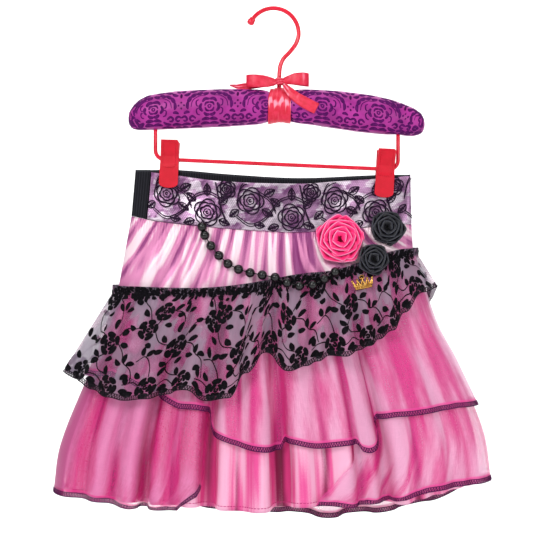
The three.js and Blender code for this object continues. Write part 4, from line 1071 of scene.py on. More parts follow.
def leaf(drawn, u, v, turn, length, width):
    """A leaf from its foot, turned so many degrees from upright."""
    t = np.linspace(0, 1, max(6, int(length / 1.1)))
    angle = math.radians(90 - turn)
    bend = 0.12 * length * np.sin(math.pi * t)
    x = u + length * t * math.cos(angle) - bend * math.sin(angle)
    y = v + length * t * math.sin(angle) + bend * math.cos(angle)
    line = np.stack([x, y], axis=1)
    drawn.add(line, bulge(line, width, 0.08))


def flock_rose(drawn, u, v, radius, turn):
    """A rosette of solid petals round a small heart."""
    heart = arc(u, v, radius * 0.14, turn, turn + 330, 0.7)
    drawn.add(heart, even(heart, radius * 0.2))
    for k in range(3):
        petal = arc(u, v, radius * 0.42, turn + 120 * k, turn + 120 * k + 104)
        drawn.add(petal, bulge(petal, radius * 0.34, 0.5))
    for k in range(5):
        petal = arc(u, v, radius * 0.77, turn + 40 + 72 * k, turn + 105 + 72 * k)
        drawn.add(petal, bulge(petal, radius * 0.5, 0.5))


def vine(drawn, points, width=1.1):
    line = curve(points, 1.4)
    drawn.add(line, even(line, width))


FLOCK_WIDTH = 62
FLOCK_SPREAD = 1.28
FLOCK_GROWTH = 1.14
# Roses: place, radius, turn. Leaves: place, turn, length, width. Vines: lines of places.
FLOCK_ROSES = [
    (13, 9, 9, 20), (43, 8, 8.4, 60), (28, 38, 9.6, 35), (58, 58, 9, 10), (6, 72, 8.4, 50),
    (36, 84, 9, 5),
]
FLOCK_LEAVES = [
    (3, 6, -95, 9, 6), (23, 5, 80, 9, 6), (5, 17, -45, 8, 5), (20, 17, 40, 9, 5.4),
    (33, 4, -85, 8, 5.4), (53, 6, 95, 9, 6), (51, 15, 50, 8, 5), (57, 12, -10, 8, 5),
    (38, 15, -30, 8, 5), (17, 38, -95, 9, 5.4), (18, 45, -40, 9, 5.2), (39, 40, 75, 9, 5.6),
    (37, 47, 35, 9, 5.2), (27, 50, 0, 10, 5.4), (24, 25, -60, 8, 5), (31, 24, 60, 8, 5),
    (47, 27, -70, 8, 4.8), (49, 28, 0, 9, 5), (51, 27, 70, 8, 4.8), (4, 34, 60, 9, 5.4),
    (2, 35, -20, 9, 5.2), (47, 58, -90, 8, 5.2), (60, 70, 20, 9, 5.4), (54, 69, -40, 9, 5.2),
    (60, 46, 120, 8, 5), (15, 74, 80, 9, 5.4), (11, 82, 30, 9, 5.2), (0, 82, -30, 9, 5.2),
    (10, 60, 100, 8, 5), (26, 66, -60, 8, 4.8), (28, 67, 0, 9, 5), (30, 66, 60, 8, 4.8),
    (27, 86, -80, 9, 5.4), (45, 88, 70, 9, 5.4), (37, 95, 0, 9, 5.2), (16, 98, -50, 8, 5),
    (18, 99, 40, 8, 5), (56, 92, 0, 9, 5.2),
]
FLOCK_VINES = [
    [(13, 17), (10, 26), (3, 34), (-4, 30)], [(28, 30), (24, 24), (28, 17), (38, 14)],
    [(37, 40), (44, 36), (49, 28), (56, 24), (60, 14)], [(20, 42), (10, 46), (3, 58), (6, 66)],
    [(34, 46), (40, 55), (50, 58)], [(58, 66), (52, 76), (44, 82)],
    [(14, 74), (22, 70), (28, 60), (27, 50)], [(30, 88), (22, 92), (16, 99), (8, 98)],
    [(6, 11), (0, 14), (-8, 11)], [(21, 9), (28, 12), (35, 8)],
]


def flock_pattern(cloth, start=0.0):
    """The flocked border and sprigs, repeated along the hem and cut off at the top."""
    drawn = Strokes()
    width = cloth.along[-1]
    for k in range(-1, int(width / (FLOCK_WIDTH * FLOCK_SPREAD)) + 2):
        lift = 3.0 * math.sin(2.4 * k)

        def laid(u, v):
            place = start + (k * FLOCK_WIDTH + u) * FLOCK_SPREAD
            return place, v * FLOCK_SPREAD + lift * min(1, v / 30)

        def fits(place, up, reach):
            return reach < place < width - reach and up + reach < cloth.room(place)

        for u, v, radius, turn in FLOCK_ROSES:
            place, up = laid(u, v)
            if fits(place, up, radius * 0.8):
                flock_rose(drawn, place, up, radius * FLOCK_GROWTH * 1.12, turn + 37 * k)
        for u, v, turn, length, wide in FLOCK_LEAVES:
            place, up = laid(u, v)
            if fits(place, up, length * 0.7):
                leaf(drawn, place, up, turn, length * FLOCK_GROWTH, wide * FLOCK_GROWTH)
        for points in FLOCK_VINES:
            line = [laid(u, v) for u, v in points]
            if all(fits(place, up, 1.5) for place, up in line):
                vine(drawn, line)
    return drawn


def heading_flock(drawn, cloth, spacing=5.2):
    """The flock that the gathers crowd together along the frilled heading."""
    pick = np.random.default_rng(5)
    for u in np.arange(5, cloth.along[-1] - 5, spacing):
        room = float(cloth.room(u))
        for low, high in ((2.6, 6), (6, 10)):
            up = room - pick.uniform(low, high)
            size = pick.uniform(2.2, 3.4)
            bud = arc(u + pick.uniform(-1.5, 1.5), up, size * 0.5, 0, 330, 1.0)
            drawn.add(bud, even(bud, size * 1.1))
        leaf(drawn, u, room - pick.uniform(9, 17), pick.uniform(-80, 80), 6.5, 4.2)


THREAD_OUT = 0.45


def overlock(drawn, start, end, laid, height=4.8, pitch=2.6, base=0.4):
    """The zigzag threads of an overlocked edge; `laid` turns its run and depth to places."""
    run = np.arange(start, end, 2.0)
    for depth, wide in ((base, 1.3), (height, 0.8)):
        drawn.add(laid(run, np.full(len(run), depth)), even(run, wide), 0.35)
    for at in np.arange(start, end - pitch, pitch):
        for foot, tip in ((at, at + pitch * 0.62), (at + pitch, at + pitch * 0.62)):
            stitch = laid(np.linspace(foot, tip, 3), np.linspace(base, height, 3))
            drawn.add(stitch, even(stitch, 0.74), 0.4)


def overlocked(name, cloth, slot, paint, reach=0, both=False):
    """Overlocks a cloth's hem, its free end up to `reach`, and its inner face where it shows."""
    drawn = Strokes()
    end = cloth.along[-1]
    overlock(drawn, 1, end - 1, lambda run, depth: np.stack([run, depth], 1))
    if reach:
        edge = end - 0.4
        overlock(drawn, 1, reach, lambda run, depth: np.stack([edge - depth, run], 1), 3.2)
    add_strokes(name + "_hem_thread", drawn, cloth, paint, slot, THREAD_OUT, both)


for node, start in (("ruffle_front", 4), ("ruffle_back", 20)):
    cloth = ruffles[node]
    flock = flock_pattern(cloth, start)
    heading_flock(flock, cloth)
    add_strokes(node + "_flock", flock, cloth, FLOCK, "flocked_organza", 0.2)
for node, cloth in ruffles.items():
    overlocked(node, cloth, "flocked_organza", BLACK_THREAD)
# How far the left front panel's free edge is overlocked, up from its hem
EDGE_REACH = 44
overlocked("long_left", layers["overskirt_long_left"], "pink_organza", SERGING, EDGE_REACH)
overlocked("long_right", layers["overskirt_long_right"], "pink_organza", SERGING)
overlocked("long_back", layers["overskirt_long_back"], "pink_organza", SERGING, both=True)
overlocked("short_front", layers["overskirt_short_front"], "pink_organza", SERGING)
overlocked("short_back", layers["overskirt_short_back"], "pink_organza", SERGING)


def satin_stitching(cloth):
    """The row of stitches that holds the satin's turned hem."""
    drawn = Strokes()
    for at in np.arange(3, cloth.along[-1] - 4, 3.4):
        stitch = np.array([(at, 4.4), (at + 1.2, 4.3), (at + 2.4, 4.4)])
        drawn.add(stitch, even(stitch, 0.7), 0.35)
    return drawn


PINK_THREAD = plain_finish("pink_thread", shade(168, 14, 96), shade(204, 40, 124), 2, 0.7)
satin = layers["underskirt_front"]
add_strokes(
    "underskirt_front_stitches", satin_stitching(satin), satin, PINK_THREAD, "pink_satin",
    THREAD_OUT,
)


# Lace on the yoke
def lace_rose(drawn, u, v, radius, turn):
    """An open rose of nested petal lines."""
    heart = arc(u, v, radius * 0.1, turn, turn + 300, 0.6)
    drawn.add(heart, even(heart, 1.2))
    for k, (share, wide) in enumerate(((0.3, 1.2), (0.56, 1.9), (0.84, 2.0), (1.08, 1.5))):
        for j in range(5):
            middle = turn + 72 * j + 34 * k
            angle = np.linspace(-37, 37, 13)
            reach = radius * share * (0.84 + 0.18 * np.cos(np.radians(angle * 2.3)))
            at = np.radians(middle + angle)
            line = np.stack([u + reach * np.cos(at), v + reach * np.sin(at)], axis=1)
            drawn.add(line, bulge(line, wide, 0.55))


def lace_leaf(drawn, u, v, turn, length, width):
    """A leaf drawn as its outline, midrib and veins."""
    t = np.linspace(0, 1, 12)
    angle = math.radians(90 - turn)
    for side in (-1, 0, 1):
        swell = side * width / 2 * np.sin(math.pi * t**0.85)
        x = u + length * t * math.cos(angle) - swell * math.sin(angle)
        y = v + length * t * math.sin(angle) + swell * math.cos(angle)
        line = np.stack([x, y], axis=1)
        drawn.add(line, even(line, 1.1) if side else bulge(line, width * 0.34, 0.2))
    for place in (0.3, 0.5, 0.7):
        for side in (-1, 1):
            reach = width * 0.4 * math.sin(math.pi * place)
            x0 = u + length * place * math.cos(angle)
            y0 = v + length * place * math.sin(angle)
            x1 = x0 + 1.6 * math.cos(angle) - side * reach * math.sin(angle)
            y1 = y0 + 1.6 * math.sin(angle) + side * reach * math.cos(angle)
            line = np.linspace((x0, y0), (x1, y1), 4)
            drawn.add(line, even(line, 0.8))


LACE_WIDTH = 86
LACE_ROSES = [(14, 30, 12.5, 15), (56, 15, 12.5, 50), (76, 40, 8.5, 5)]
LACE_LEAVES = [
    (26, 22, 120, 13, 7), (2, 20, -130, 12, 7), (28, 36, 60, 13, 7.5), (44, 26, -50, 12, 7),
    (68, 24, 45, 13, 7.5), (68, 8, 110, 12, 7), (43, 6, -110, 12, 7), (56, 32, 0, 13, 7),
    (18, 6, 95, 11, 6.5),
]
LACE_VINES = [
    [(0, 12), (14, 4), (30, 12), (44, 30), (58, 34), (74, 26)],
    [(0, 26), (6, 44), (20, 50)], [(64, 48), (70, 20), (76, 4)],
    [(22, 38), (34, 30), (40, 18)],
]


def lace_pattern(cloth):
    drawn = Strokes()
    width = cloth.along[-1]

    def fits(u, v, reach):
        return reach < u < width - reach and 0.6 + reach * 0.8 < v < cloth.room(u) - reach * 0.8

    for k in range(-1, int(width / LACE_WIDTH) + 2):
        shift = k * LACE_WIDTH + 6
        for u, v, radius, turn in LACE_ROSES:
            if fits(u + shift, v, radius * 0.9):
                lace_rose(drawn, u + shift, v, radius, turn + 25 * k)
        for u, v, turn, length, wide in LACE_LEAVES:
            if fits(u + shift, v, 4):
                lace_leaf(drawn, u + shift, v, turn, length, wide)
        for points in LACE_VINES:
            for side in (0, 2.4):
                line = curve([(u + shift, v + side) for u, v in points], 1.5)
                kept = (line[:, 0] > 1) & (line[:, 0] < width - 1) & (line[:, 1] > 1)
                kept &= line[:, 1] < cloth.room(line[:, 0]) - 1
                line = line[kept]
                if len(line) > 4:
                    drawn.add(line, even(line, 1.0))
    return drawn


def net_finish():
    """Fine six-sided net, mostly open."""
    finish = Finish("black_net")
    u, v, fold = finish.chart()
    first = abs(sine((u + v * 0.58) * 1.5))
    second = abs(sine((u - v * 0.58) * 1.5))
    third = abs(sine(v * 1.75))
    mesh = larger(larger(first, second), third)
    cloud = finish.noise(u / 16, v / 12, 0.0, 2.0)
    alpha = finish.steps(mesh, 0.88, 0.99) * 0.3 + 0.06 + finish.steps(cloud, 0.5, 0.62) * 0.16
    return finish.done(
        Base_Color=shade(50, 24, 58), Alpha=held(alpha), Roughness=0.8, Specular_IOR_Level=0.1
    )


lace = add_cloth("yoke_lace_net", lace_grid, net_finish(), "black_lace", "yoke_lace")
add_strokes("yoke_lace_threads", lace_pattern(lace), lace, BLACK_LACE, "black_lace", 0.1)

# Beads, roses and charm
BEADS = [
    (-72.1, -15.4, -222), (-69.3, -16.2, -230.6), (-63, -17, -241.2), (-55, -17.8, -251),
    (-45.9, -18.6, -259.3), (-35.2, -19.4, -264.9), (-23.5, -21, -268.3), (-11.3, -24, -270.5),
    (1.6, -27, -273), (13.5, -28.5, -278.3), (25.7, -30.2, -281.3), (39, -30.2, -280.4),
    (50.6, -29.2, -274.4), (61.5, -27.8, -267.6),
]
BEAD_RADIUS = 4.9
THREAD_RADIUS = 0.55
BALL_END = 84
THREAD_START = (-72.6, -13.6, -216.5)
THREAD_END = (66, -24, -262.6)


def turned(profile, foot, axis, sides=20):
    """A lathe shape: rows of height along an axis and radius, from its foot."""
    axis = np.asarray(axis, float)
    axis = axis / np.linalg.norm(axis)
    first = np.cross(axis, [0, 1, 0.2])
    first /= np.linalg.norm(first)
    second = np.cross(axis, first)
    turn = 2 * math.pi * np.arange(sides) / sides
    ring = first * np.cos(turn)[:, None] + second * np.sin(turn)[:, None]
    points = [np.asarray(foot) + axis * height + ring * radius for height, radius in profile]
    return np.concatenate(points), ring_faces(len(profile), sides)


def round_profile(radius, count=14):
    """The profile of a ball, cut small and flat at its two ends."""
    angles = np.radians(np.linspace(-BALL_END, BALL_END, count))
    return [(radius * math.sin(a), radius * math.cos(a)) for a in angles]


def bead_string():
    middles = [np.array(p, float) for p in [THREAD_START, *BEADS, THREAD_END]]
    parts = []
    for k in range(1, len(middles) - 1):
        axis = middles[k + 1] - middles[k - 1]
        parts.append(turned(round_profile(BEAD_RADIUS), middles[k], axis))
    for a, b in zip(middles[:-1], middles[1:]):
        reach = np.linalg.norm(b - a)
        parts.append(turned([(0, THREAD_RADIUS), (reach, THREAD_RADIUS)], a, b - a, 8))
    return joined(parts)


add_piece("bead_swag_string", *bead_string(), BEAD, "black_bead", ["bead_swag"])

# Each rose: x, y, z of its back, radius, height, rings of petals, tilt
ROSES = {
    "rose_pink": (67.5, -14.3, -234.5, 26.6, 13.0, 5.2, 6),
    "rose_black_upper": (115.2, -10.6, -222.5, 19.0, 11.0, 4.2, 6),
    "rose_black_lower": (100.5, -23.4, -254.5, 17.0, 10.0, 4.0, 5),
}
PETAL_TURN = 78.3
PETALS_A_RING = 360 / PETAL_TURN
PETAL_CORNER = math.radians(37)
PETAL_HALF = math.radians(56)
PETAL_WAYS = 19
PETAL_STEPS = 10


def rose_petal(radius, height, start, end, middle, tilt, ring):
    """One petal: a wall that rises from the heart and folds over outwards, straight-edged."""
    s = np.linspace(-1, 1, PETAL_WAYS)[:, None]
    t = np.linspace(0, 1, PETAL_STEPS)[None, :]
    turn = s * PETAL_HALF
    lip = radius * lerp(start * 0.9, end, 0.06 + 0.94 * t**1.2)
    straight = math.cos(PETAL_CORNER) / np.cos(np.clip(turn - tilt, -PETAL_CORNER, PETAL_CORNER))
    beyond = np.clip(np.abs(turn - tilt) - PETAL_CORNER, 0, 1)
    reach = lip * lerp(1.0, straight * 1.12, 0.5) * (1 - 0.45 * beyond)
    dome = height * np.sqrt(max(0.03, 1 - (end * 0.92) ** 2))
    rise = smooth(t / 0.75) - 0.35 * smooth((t - 0.82) / 0.18)
    z = dome + (2.4 + 1.4 * ring) * (rise - 1) - 1.2 * np.abs(s) ** 3
    angle = middle + turn
    z = np.maximum(z, 0.5) + 0.02 * s
    grid = np.stack([reach * np.cos(angle), reach * np.sin(angle), z], axis=2)
    # The chart: low in the groove for painted shade, high on the turned rim for a painted highlight.
    rim = smooth((t - 0.7) / 0.2) * (1 - 0.5 * s**2)
    return grid, np.broadcast_to(0.5 * smooth(t / 0.32) + 0.5 * rim, z.shape)


def rolled_rose(radius, height, rings, seed):
    """The rose facing +Z on its back plane, and how far out of its grooves each point is."""
    pick = np.random.default_rng(seed)
    back = [(0.0, radius * 0.8), (0.8, radius * 0.86), (2.4, radius * 0.8)]
    parts = [turned(back, (0, 0, 0), (0, 0, 1), 30)]
    charts = [np.full(len(parts[0][0]), 0.1)]
    count = int(rings * PETALS_A_RING)
    for k in range(count):
        start = (k / (count + PETALS_A_RING - 1)) ** 0.85
        end = ((k + PETALS_A_RING) / (count + PETALS_A_RING - 1)) ** 0.85
        middle = math.radians(PETAL_TURN * k + pick.uniform(-7, 7))
        tilt = math.radians(pick.uniform(-9, 9))
        end *= 1 - pick.uniform(0, 0.05)
        grid, fold = rose_petal(radius, height, start, end, middle, tilt, k / count)
        parts.append((grid.reshape(-1, 3), grid_faces(PETAL_WAYS, PETAL_STEPS)))
        charts.append(fold.ravel())
    points, faces = joined(parts)
    return points, faces, np.concatenate(charts)


def ribbon_rose_finish(name, deep, middle, light):
    """Ribbon with painted shade in its grooves and a painted highlight on its turned edges."""
    finish = Finish(name)
    u, v, fold = finish.chart()
    cloud = finish.noise(u / 9, v / 9, fold * 3, 3.0)
    weave = sine(u * 6.0) * sine(v * 6.0)
    # Painted shade in the grooves, painted highlight on the turned edges.
    body = finish.mix(deep, middle, finish.steps(fold, 0.06, 0.36))
    colour = finish.mix(body, light, finish.steps(fold + (cloud - 0.5) * 0.5, 0.66, 0.98))
    bump = finish.bump(weave * 0.3 + cloud, 0.25, 0.0003)
    return finish.done(
        Base_Color=colour, Roughness=0.4 + (cloud - 0.5) * 0.2, Normal=bump,
        Specular_IOR_Level=0.3,
    )


# Each rose's darkest colour is painted shade for its grooves, its palest a painted highlight for its
# edges.
ROSE_PINK = ribbon_rose_finish(
    "rose_pink_ribbon", shade(150, 2, 54), shade(240, 38, 112), shade(255, 150, 192)
)
ROSE_BLACK = ribbon_rose_finish(
    "rose_black_ribbon", shade(4, 4, 6), shade(20, 20, 26), shade(66, 68, 78)
)


def add_rose(name, paint, slot):
    x, y, z, radius, height, rings, tilt = ROSES[name]
    points, faces, fold = rolled_rose(radius, height, rings, int(x))
    chart = np.stack([points[:, 0], points[:, 1], fold], axis=1)
    lean = math.radians(tilt)
    up = points[:, 1] * math.cos(lean) + points[:, 2] * math.sin(lean)
    out = points[:, 2] * math.cos(lean) - points[:, 1] * math.sin(lean)
    placed = np.stack([x + points[:, 0], y - out, z + up], axis=1)
    piece = add_piece(name + "_folded", placed, faces, paint, slot, [name], chart)
    thicken(piece, 0.5)


add_rose("rose_pink", ROSE_PINK, "pink_ribbon")
add_rose("rose_black_upper", ROSE_BLACK, "black_ribbon")
add_rose("rose_black_lower", ROSE_BLACK, "black_ribbon")

# Crown charm: band, five points with balls, and a sewing ring
CROWN = {"x": 89, "y": -30.8, "z": -279, "width": 20, "height": 9, "turn": 12}


def crown_charm():
    parts = []
    half = CROWN["width"] / 2
    for height, thick in ((-4.0, 1.5), (-1.9, 1.1)):
        path = [(x, 0, height + 0.35 * (x / half) ** 2) for x in np.linspace(-8.6, 8.6, 15)]
        parts.append(tube(path, [thick] * 15, 10))
    tips = []
    for k in range(5):
        share = k / 4 - 0.5
        tips.append((CROWN["width"] * share, 4.5 - 2.2 * abs(share)))
    for k, (x, z) in enumerate(tips):
        for way in (-1, 1):
            foot = np.clip(x * 0.86 + way * 2.0, -8.6, 8.6)
            path = np.linspace((foot, 0, -2.2), (x, 0, z), 6)
            parts.append(tube(path, np.linspace(1.25, 0.7, 6), 8))
        parts.append(turned(round_profile(1.3, 10), (x, 0, z + 0.6), (0, 0, 1), 14))
    for x in np.linspace(-7, 7, 5):
        parts.append(turned(round_profile(0.9, 8), (x, -1.0, -3.1), (0, -1, 0), 12))
    ring = [(2.1 * math.cos(a), 0, 6.4 + 2.1 * math.sin(a)) for a in np.linspace(0, 6.2, 24)]
    parts.append(tube(ring, [0.45] * 24, 8))
    return joined(parts)


points, faces = crown_charm()
turn = math.radians(CROWN["turn"])
x = points[:, 0] * math.cos(turn) - points[:, 2] * math.sin(turn)
z = points[:, 0] * math.sin(turn) + points[:, 2] * math.cos(turn)
points = np.stack([x + CROWN["x"], points[:, 1] + CROWN["y"], z + CROWN["z"]], axis=1)
add_piece("crown_charm_cast", points, faces, GOLD, "gold_metal", ["crown_charm"])

# Hanger: hook, clip bar, padded bar, ribbon and bow
WIRE_RADIUS = 2.2
BAR_RADIUS = 2.05
HOOK_RADIUS = 25.8
HOOK_NECK = [
    (25.2, -28.5), (22.6, -35), (16.4, -43), (10.3, -49.5), (7.2, -56.5), (6.2, -63), (5.9, -69.8),
    (5.9, -80.3),
]


def hook_shape():
    middle = -HOOK_RADIUS + WIRE_RADIUS
    angles = np.radians(np.linspace(150, -4, 48))
    bow = [(HOOK_RADIUS * math.cos(a), 0, middle + HOOK_RADIUS * math.sin(a)) for a in angles]
    line = curve(bow + [(x, 0, z) for x, z in HOOK_NECK], 1.6)
    wire = tube(line, np.full(len(line), WIRE_RADIUS), 20)
    foot = np.array(bow[0])
    away = np.array([-0.52, 0, -0.85])
    cap = [(-1.2, 2.3), (-0.6, 2.9), (0.6, 3.5), (1.4, 3.2), (2.2, 3.7), (4.0, 3.9), (5.4, 3.4)]
    cap += [(6.2, 2.6), (6.7, 1.4)]
    return joined([wire, turned(cap, foot - away * 2.2, away, 24)])


add_piece("hanger_hook_coated", *hook_shape(), RED_COATING, "red_coating", ["hanger_hook"])

BAR_LEFT = (-120.6, -152.4, -121.5)
BAR_RIGHT = (127.5, -162.6, -127.15)
BAR_BEND = 9


def bar_shape():
    quarter = np.linspace(0, math.pi / 2, 9)
    left_x, left_z, left_top = BAR_LEFT
    right_x, right_z, right_top = BAR_RIGHT
    path = [(left_x, 0, left_top), (left_x, 0, left_z + 16)]
    for a in quarter:
        path.append((left_x + BAR_BEND * (1 - math.cos(a)), 0, left_z + BAR_BEND * (1 - math.sin(a))))
    for a in quarter:
        path.append((right_x - BAR_BEND * (1 - math.sin(a)), 0, right_z + BAR_BEND * (1 - math.cos(a))))
    path += [(right_x, 0, right_z + 16), (right_x, 0, right_top)]
    line = curve(path, 2.4)
    return tube(line, np.full(len(line), BAR_RADIUS), 18)


add_piece("hanger_bar_coated", *bar_shape(), RED_COATING, "red_coating", ["hanger_bar"])

# Padded bar: x, z of its middle, half its height
PAD = [
    (-148.7, -111, 3), (-145.5, -110.6, 9.5), (-139, -108, 13.5), (-130, -105.2, 16.2),
    (-104.8, -102.5, 18), (-73.5, -100.8, 18.5), (-48.5, -99.7, 18.4), (-28, -99.2, 17.9),
    (-5.5, -98.5, 16.9), (6, -97.8, 15.6), (17.5, -98.1, 16.6), (34, -98.7, 17.3),
    (72.2, -102.8, 18.6), (93.7, -105.5, 18.5), (118, -109.1, 17.2), (138, -113, 14.2),
    (150, -115.8, 10.5), (155.6, -117.3, 3.5),
]
PAD_DEPTH = 15 / 18.5
PAD_TIGHT = -1.8
PAD_SWELL = 2.6
PAD_LEFT = PAD[0][0]
PAD_RIGHT = PAD[-1][0]
PAD_MIDDLE = -103
RIBBON_MIDDLE = 6
VOXEL = 4.6
WRAP_START = -4
WRAP_END = 16


def pad_rings(columns, sides, inset):
    """Rings round the padded bar, from the top over the front and back to the top."""
    table = np.array(PAD, float)
    x = lerp(PAD_LEFT, PAD_RIGHT, 0.5 - 0.5 * np.cos(np.linspace(0, math.pi, columns)))
    z = along(table[:, :2], x)
    squeezed = 3.4 * np.exp(-(((x - RIBBON_MIDDLE) / 12.5) ** 4)) if inset else 0
    half = np.maximum(1.5, along(table[:, [0, 2]], x) - inset - squeezed)
    angle = 2 * math.pi * np.arange(sides) / sides
    y = -half[:, None] * PAD_DEPTH * np.sin(angle)[None, :]
    high = z[:, None] + half[:, None] * np.cos(angle)[None, :]
    return np.stack([np.repeat(x[:, None], sides, axis=1), y, high], axis=2)


def pad_shell():
    rings = pad_rings(64, 36, PAD_TIGHT)
    return rings.reshape(-1, 3), ring_faces(*rings.shape[:2])


def baked(piece):
    """The piece's mesh with its modifiers applied."""
    graph = bpy.context.evaluated_depsgraph_get()
    mesh = bpy.data.meshes.new_from_object(piece.evaluated_get(graph))
    piece.modifiers.clear()
    piece.data = mesh
    return mesh


def coordinates(mesh):
    held = np.zeros(len(mesh.vertices) * 3, np.float32)
    mesh.vertices.foreach_get("co", held)
    return held.reshape(-1, 3).astype(float)


def inflate(piece):
    """Blows the pad's cover up a little with cloth pressure, so that it dents and crowns."""
    remesh = piece.modifiers.new("even", "REMESH")
    remesh.mode = "VOXEL"
    remesh.voxel_size = VOXEL * MM
    baked(piece)
    start = coordinates(piece.data)
    cloth = piece.modifiers.new("cover", "CLOTH")
    cloth.settings.use_pressure = True
    cloth.settings.uniform_pressure_force = 4
    cloth.settings.effector_weights.gravity = 0
    cloth.settings.tension_stiffness = 12
    cloth.settings.bending_stiffness = 0.3
    for step in range(1, 21):
        bpy.context.scene.frame_set(step)
    mesh = baked(piece)
    bpy.context.scene.frame_set(1)
    moved = coordinates(mesh) - start
    length = np.linalg.norm(moved, axis=1, keepdims=True) + 1e-12
    moved *= np.minimum(1, PAD_SWELL * MM / length)
    mesh.vertices.foreach_set("co", (start + moved).astype(np.float32).ravel())
    mesh.update()


def pad_creases(mesh):
    """Gathers at the pad's two ends and beside the ribbon, and where the bar goes in."""
    at = coordinates(mesh) / MM
    x, y, z = at.T
    angle = np.arctan2(z - PAD_MIDDLE, y * 1.2)
    beside = np.abs(x - RIBBON_MIDDLE)
    ends = smooth((-128 - x) / 18) + smooth((x - 132) / 18)
    middle = smooth(1 - (beside - 12) / 10) * (beside > 11)
    near_bar = np.exp(-(((x - BAR_RIGHT[0]) / 7) ** 2)) * smooth((-z - 112) / 10)
    pull = 0.9 * ends * np.sin(9 * angle + x * 0.05) + 0.6 * middle * np.sin(11 * angle)
    pull -= 1.0 * near_bar
    out = np.stack([np.zeros_like(x), y / 15, (z - PAD_MIDDLE) / 18], axis=1)
    out /= np.linalg.norm(out, axis=1, keepdims=True) + 1e-9
    mesh.vertices.foreach_set("co", ((at + out * pull[:, None]) * MM).astype(np.float32).ravel())
    mesh.update()


pad = add_piece("hanger_pad_cover", *pad_shell(), DAMASK_SATIN, "damask_pad", ["hanger_pad"])
inflate(pad)
pad_creases(pad.data)
pad.data.shade_smooth()
pad.modifiers.new("round", "SUBSURF").render_levels = 1


def pad_cloth():
    rings = pad_rings(160, 73, 0)
    closed = np.concatenate([rings, rings[:, :1]], axis=1)
    return Cloth(closed)


DAMASK_WIDTH = 57
# Half of one repeat, mirrored about its flower: width, roundness of the ends, line
DAMASK_HALF = [
    (3.2, 0.5, [(0, 7.4), (4.4, 7.6), (7.2, 4.4)]), (3.2, 0.5, [(7.8, 3.2), (9.6, -0.8), (7, -4.6)]),
    (3.2, 0.5, [(5.8, -5.6), (3, -7.8), (0, -7.6)]), (2.2, 0.5, [(0, 4), (3.4, 3.4), (4.7, 0.6)]),
    (2.2, 0.5, [(4.5, -0.7), (3, -3.7), (0, -4.1)]), (1.7, 0.6, [(0, 1.7), (1.7, 0.5), (0, -1.7)]),
    (1.5, 0.6, [(10.8, 7), (13.2, 5.6), (13, 1.2), (11.2, 0.4)]),
    (1.5, 0.6, [(11.2, -1.4), (13.2, -2.6), (12.4, -6.8), (9.8, -7.8)]),
    (4.2, 0.3, [(0.5, 15), (4, 13.6), (7, 14.4)]), (4.4, 0.3, [(7, 16), (10.6, 13.6), (13.4, 13)]),
    (4.4, 0.3, [(13, 14.4), (16.4, 11.4), (18.8, 10)]), (4.2, 0.3, [(18.4, 11), (20.6, 7), (22.2, 4.6)]),
    (3.4, 0.3, [(21.6, 6), (22.4, 1.4), (21.6, -2)]), (4.2, 0.3, [(3, 20), (8, 19.4), (12, 20.6)]),
    (4.2, 0.3, [(12, 20), (16.6, 17.6), (20, 17.4)]), (4.2, 0.3, [(19.4, 16), (23, 13), (25.6, 13)]),
    (3.6, 0.3, [(24, 20), (26.6, 17.4), (28.5, 18)]),
    (0.9, 0.9, [(4, 11.4), (11, 10.6), (17, 6.2), (18.6, 0)]),
    (2.4, 0.6, [(14, -11), (17.4, -8.6), (20, -10.6), (18.4, -13.4), (16, -12.6)]),
    (2.4, 0.6, [(28.5, -10), (25, -8.6), (22.8, -11.4), (24.8, -13.6), (26.6, -12.2)]),
    (3.0, 0.4, [(20, -5), (23, -4.4), (26, -6)]), (3.4, 0.4, [(10, -13.4), (13, -16), (18, -17)]),
    (3.6, 0.4, [(0, -12), (4, -11.6), (8, -12.8)]), (3.8, 0.4, [(0, -17.4), (5, -16.4), (9, -18)]),
    (3.6, 0.4, [(19, -17.6), (23, -16.8), (28.5, -18)]), (3.6, 0.4, [(8, -22), (14, -20.8), (20, -22.4)]),
    (3.6, 0.4, [(22, -22), (26, -21.4), (28.5, -22.6)]), (2.6, 0.5, [(28.5, 9.4), (28.5, 14.6)]),
    (2.0, 0.7, [(28.5, 4), (28.5, 5.8)]), (2.0, 0.7, [(28.5, -1.8), (28.5, 0)]),
    (2.0, 0.7, [(24.8, 2), (26.6, 2)]),
]


def damask_pattern(cloth):
    """Pointed frames round flowers, scrolls between them, mirrored in each repeat."""
    drawn = Strokes()
    around = cloth.height.max()
    for k in range(-1, int(cloth.along[-1] / DAMASK_WIDTH) + 2):
        for front, middle in ((True, around * 0.75), (False, around * 0.25)):
            centre = (k + (0.5 if front else 0)) * DAMASK_WIDTH + 8
            for side in (-1, 1):
                damask_half(drawn, cloth, centre, middle, side)
    return drawn


def damask_half(drawn, cloth, centre, middle, side):
    width = cloth.along[-1]
    for wide, low, points in DAMASK_HALF:
        line = curve([(centre + side * u, middle + v) for u, v in points], 1.3)
        line[:, 1] *= cloth.room(line[:, 0]) / cloth.height.max()
        place = np.interp(line[:, 0].mean(), cloth.along, cloth.grid[:, 0, 0])
        hidden = WRAP_START < place < WRAP_END
        if line[:, 0].min() > 1.5 and line[:, 0].max() < width - 1.5 and not hidden:
            drawn.add(line, bulge(line, wide, low), 0.28)


def laid_on(piece, points, out):
    """Moves points on to the piece's own surface, a little out from it."""
    graph = bpy.context.evaluated_depsgraph_get()
    tree = BVHTree.FromObject(piece, graph)
    found = []
    for point, lift in zip(points, out):
        place, normal, _, _ = tree.find_nearest(Vector(point * MM))
        found.append(np.array(place + normal * (float(lift) * MM)) / MM)
    return np.array(found)


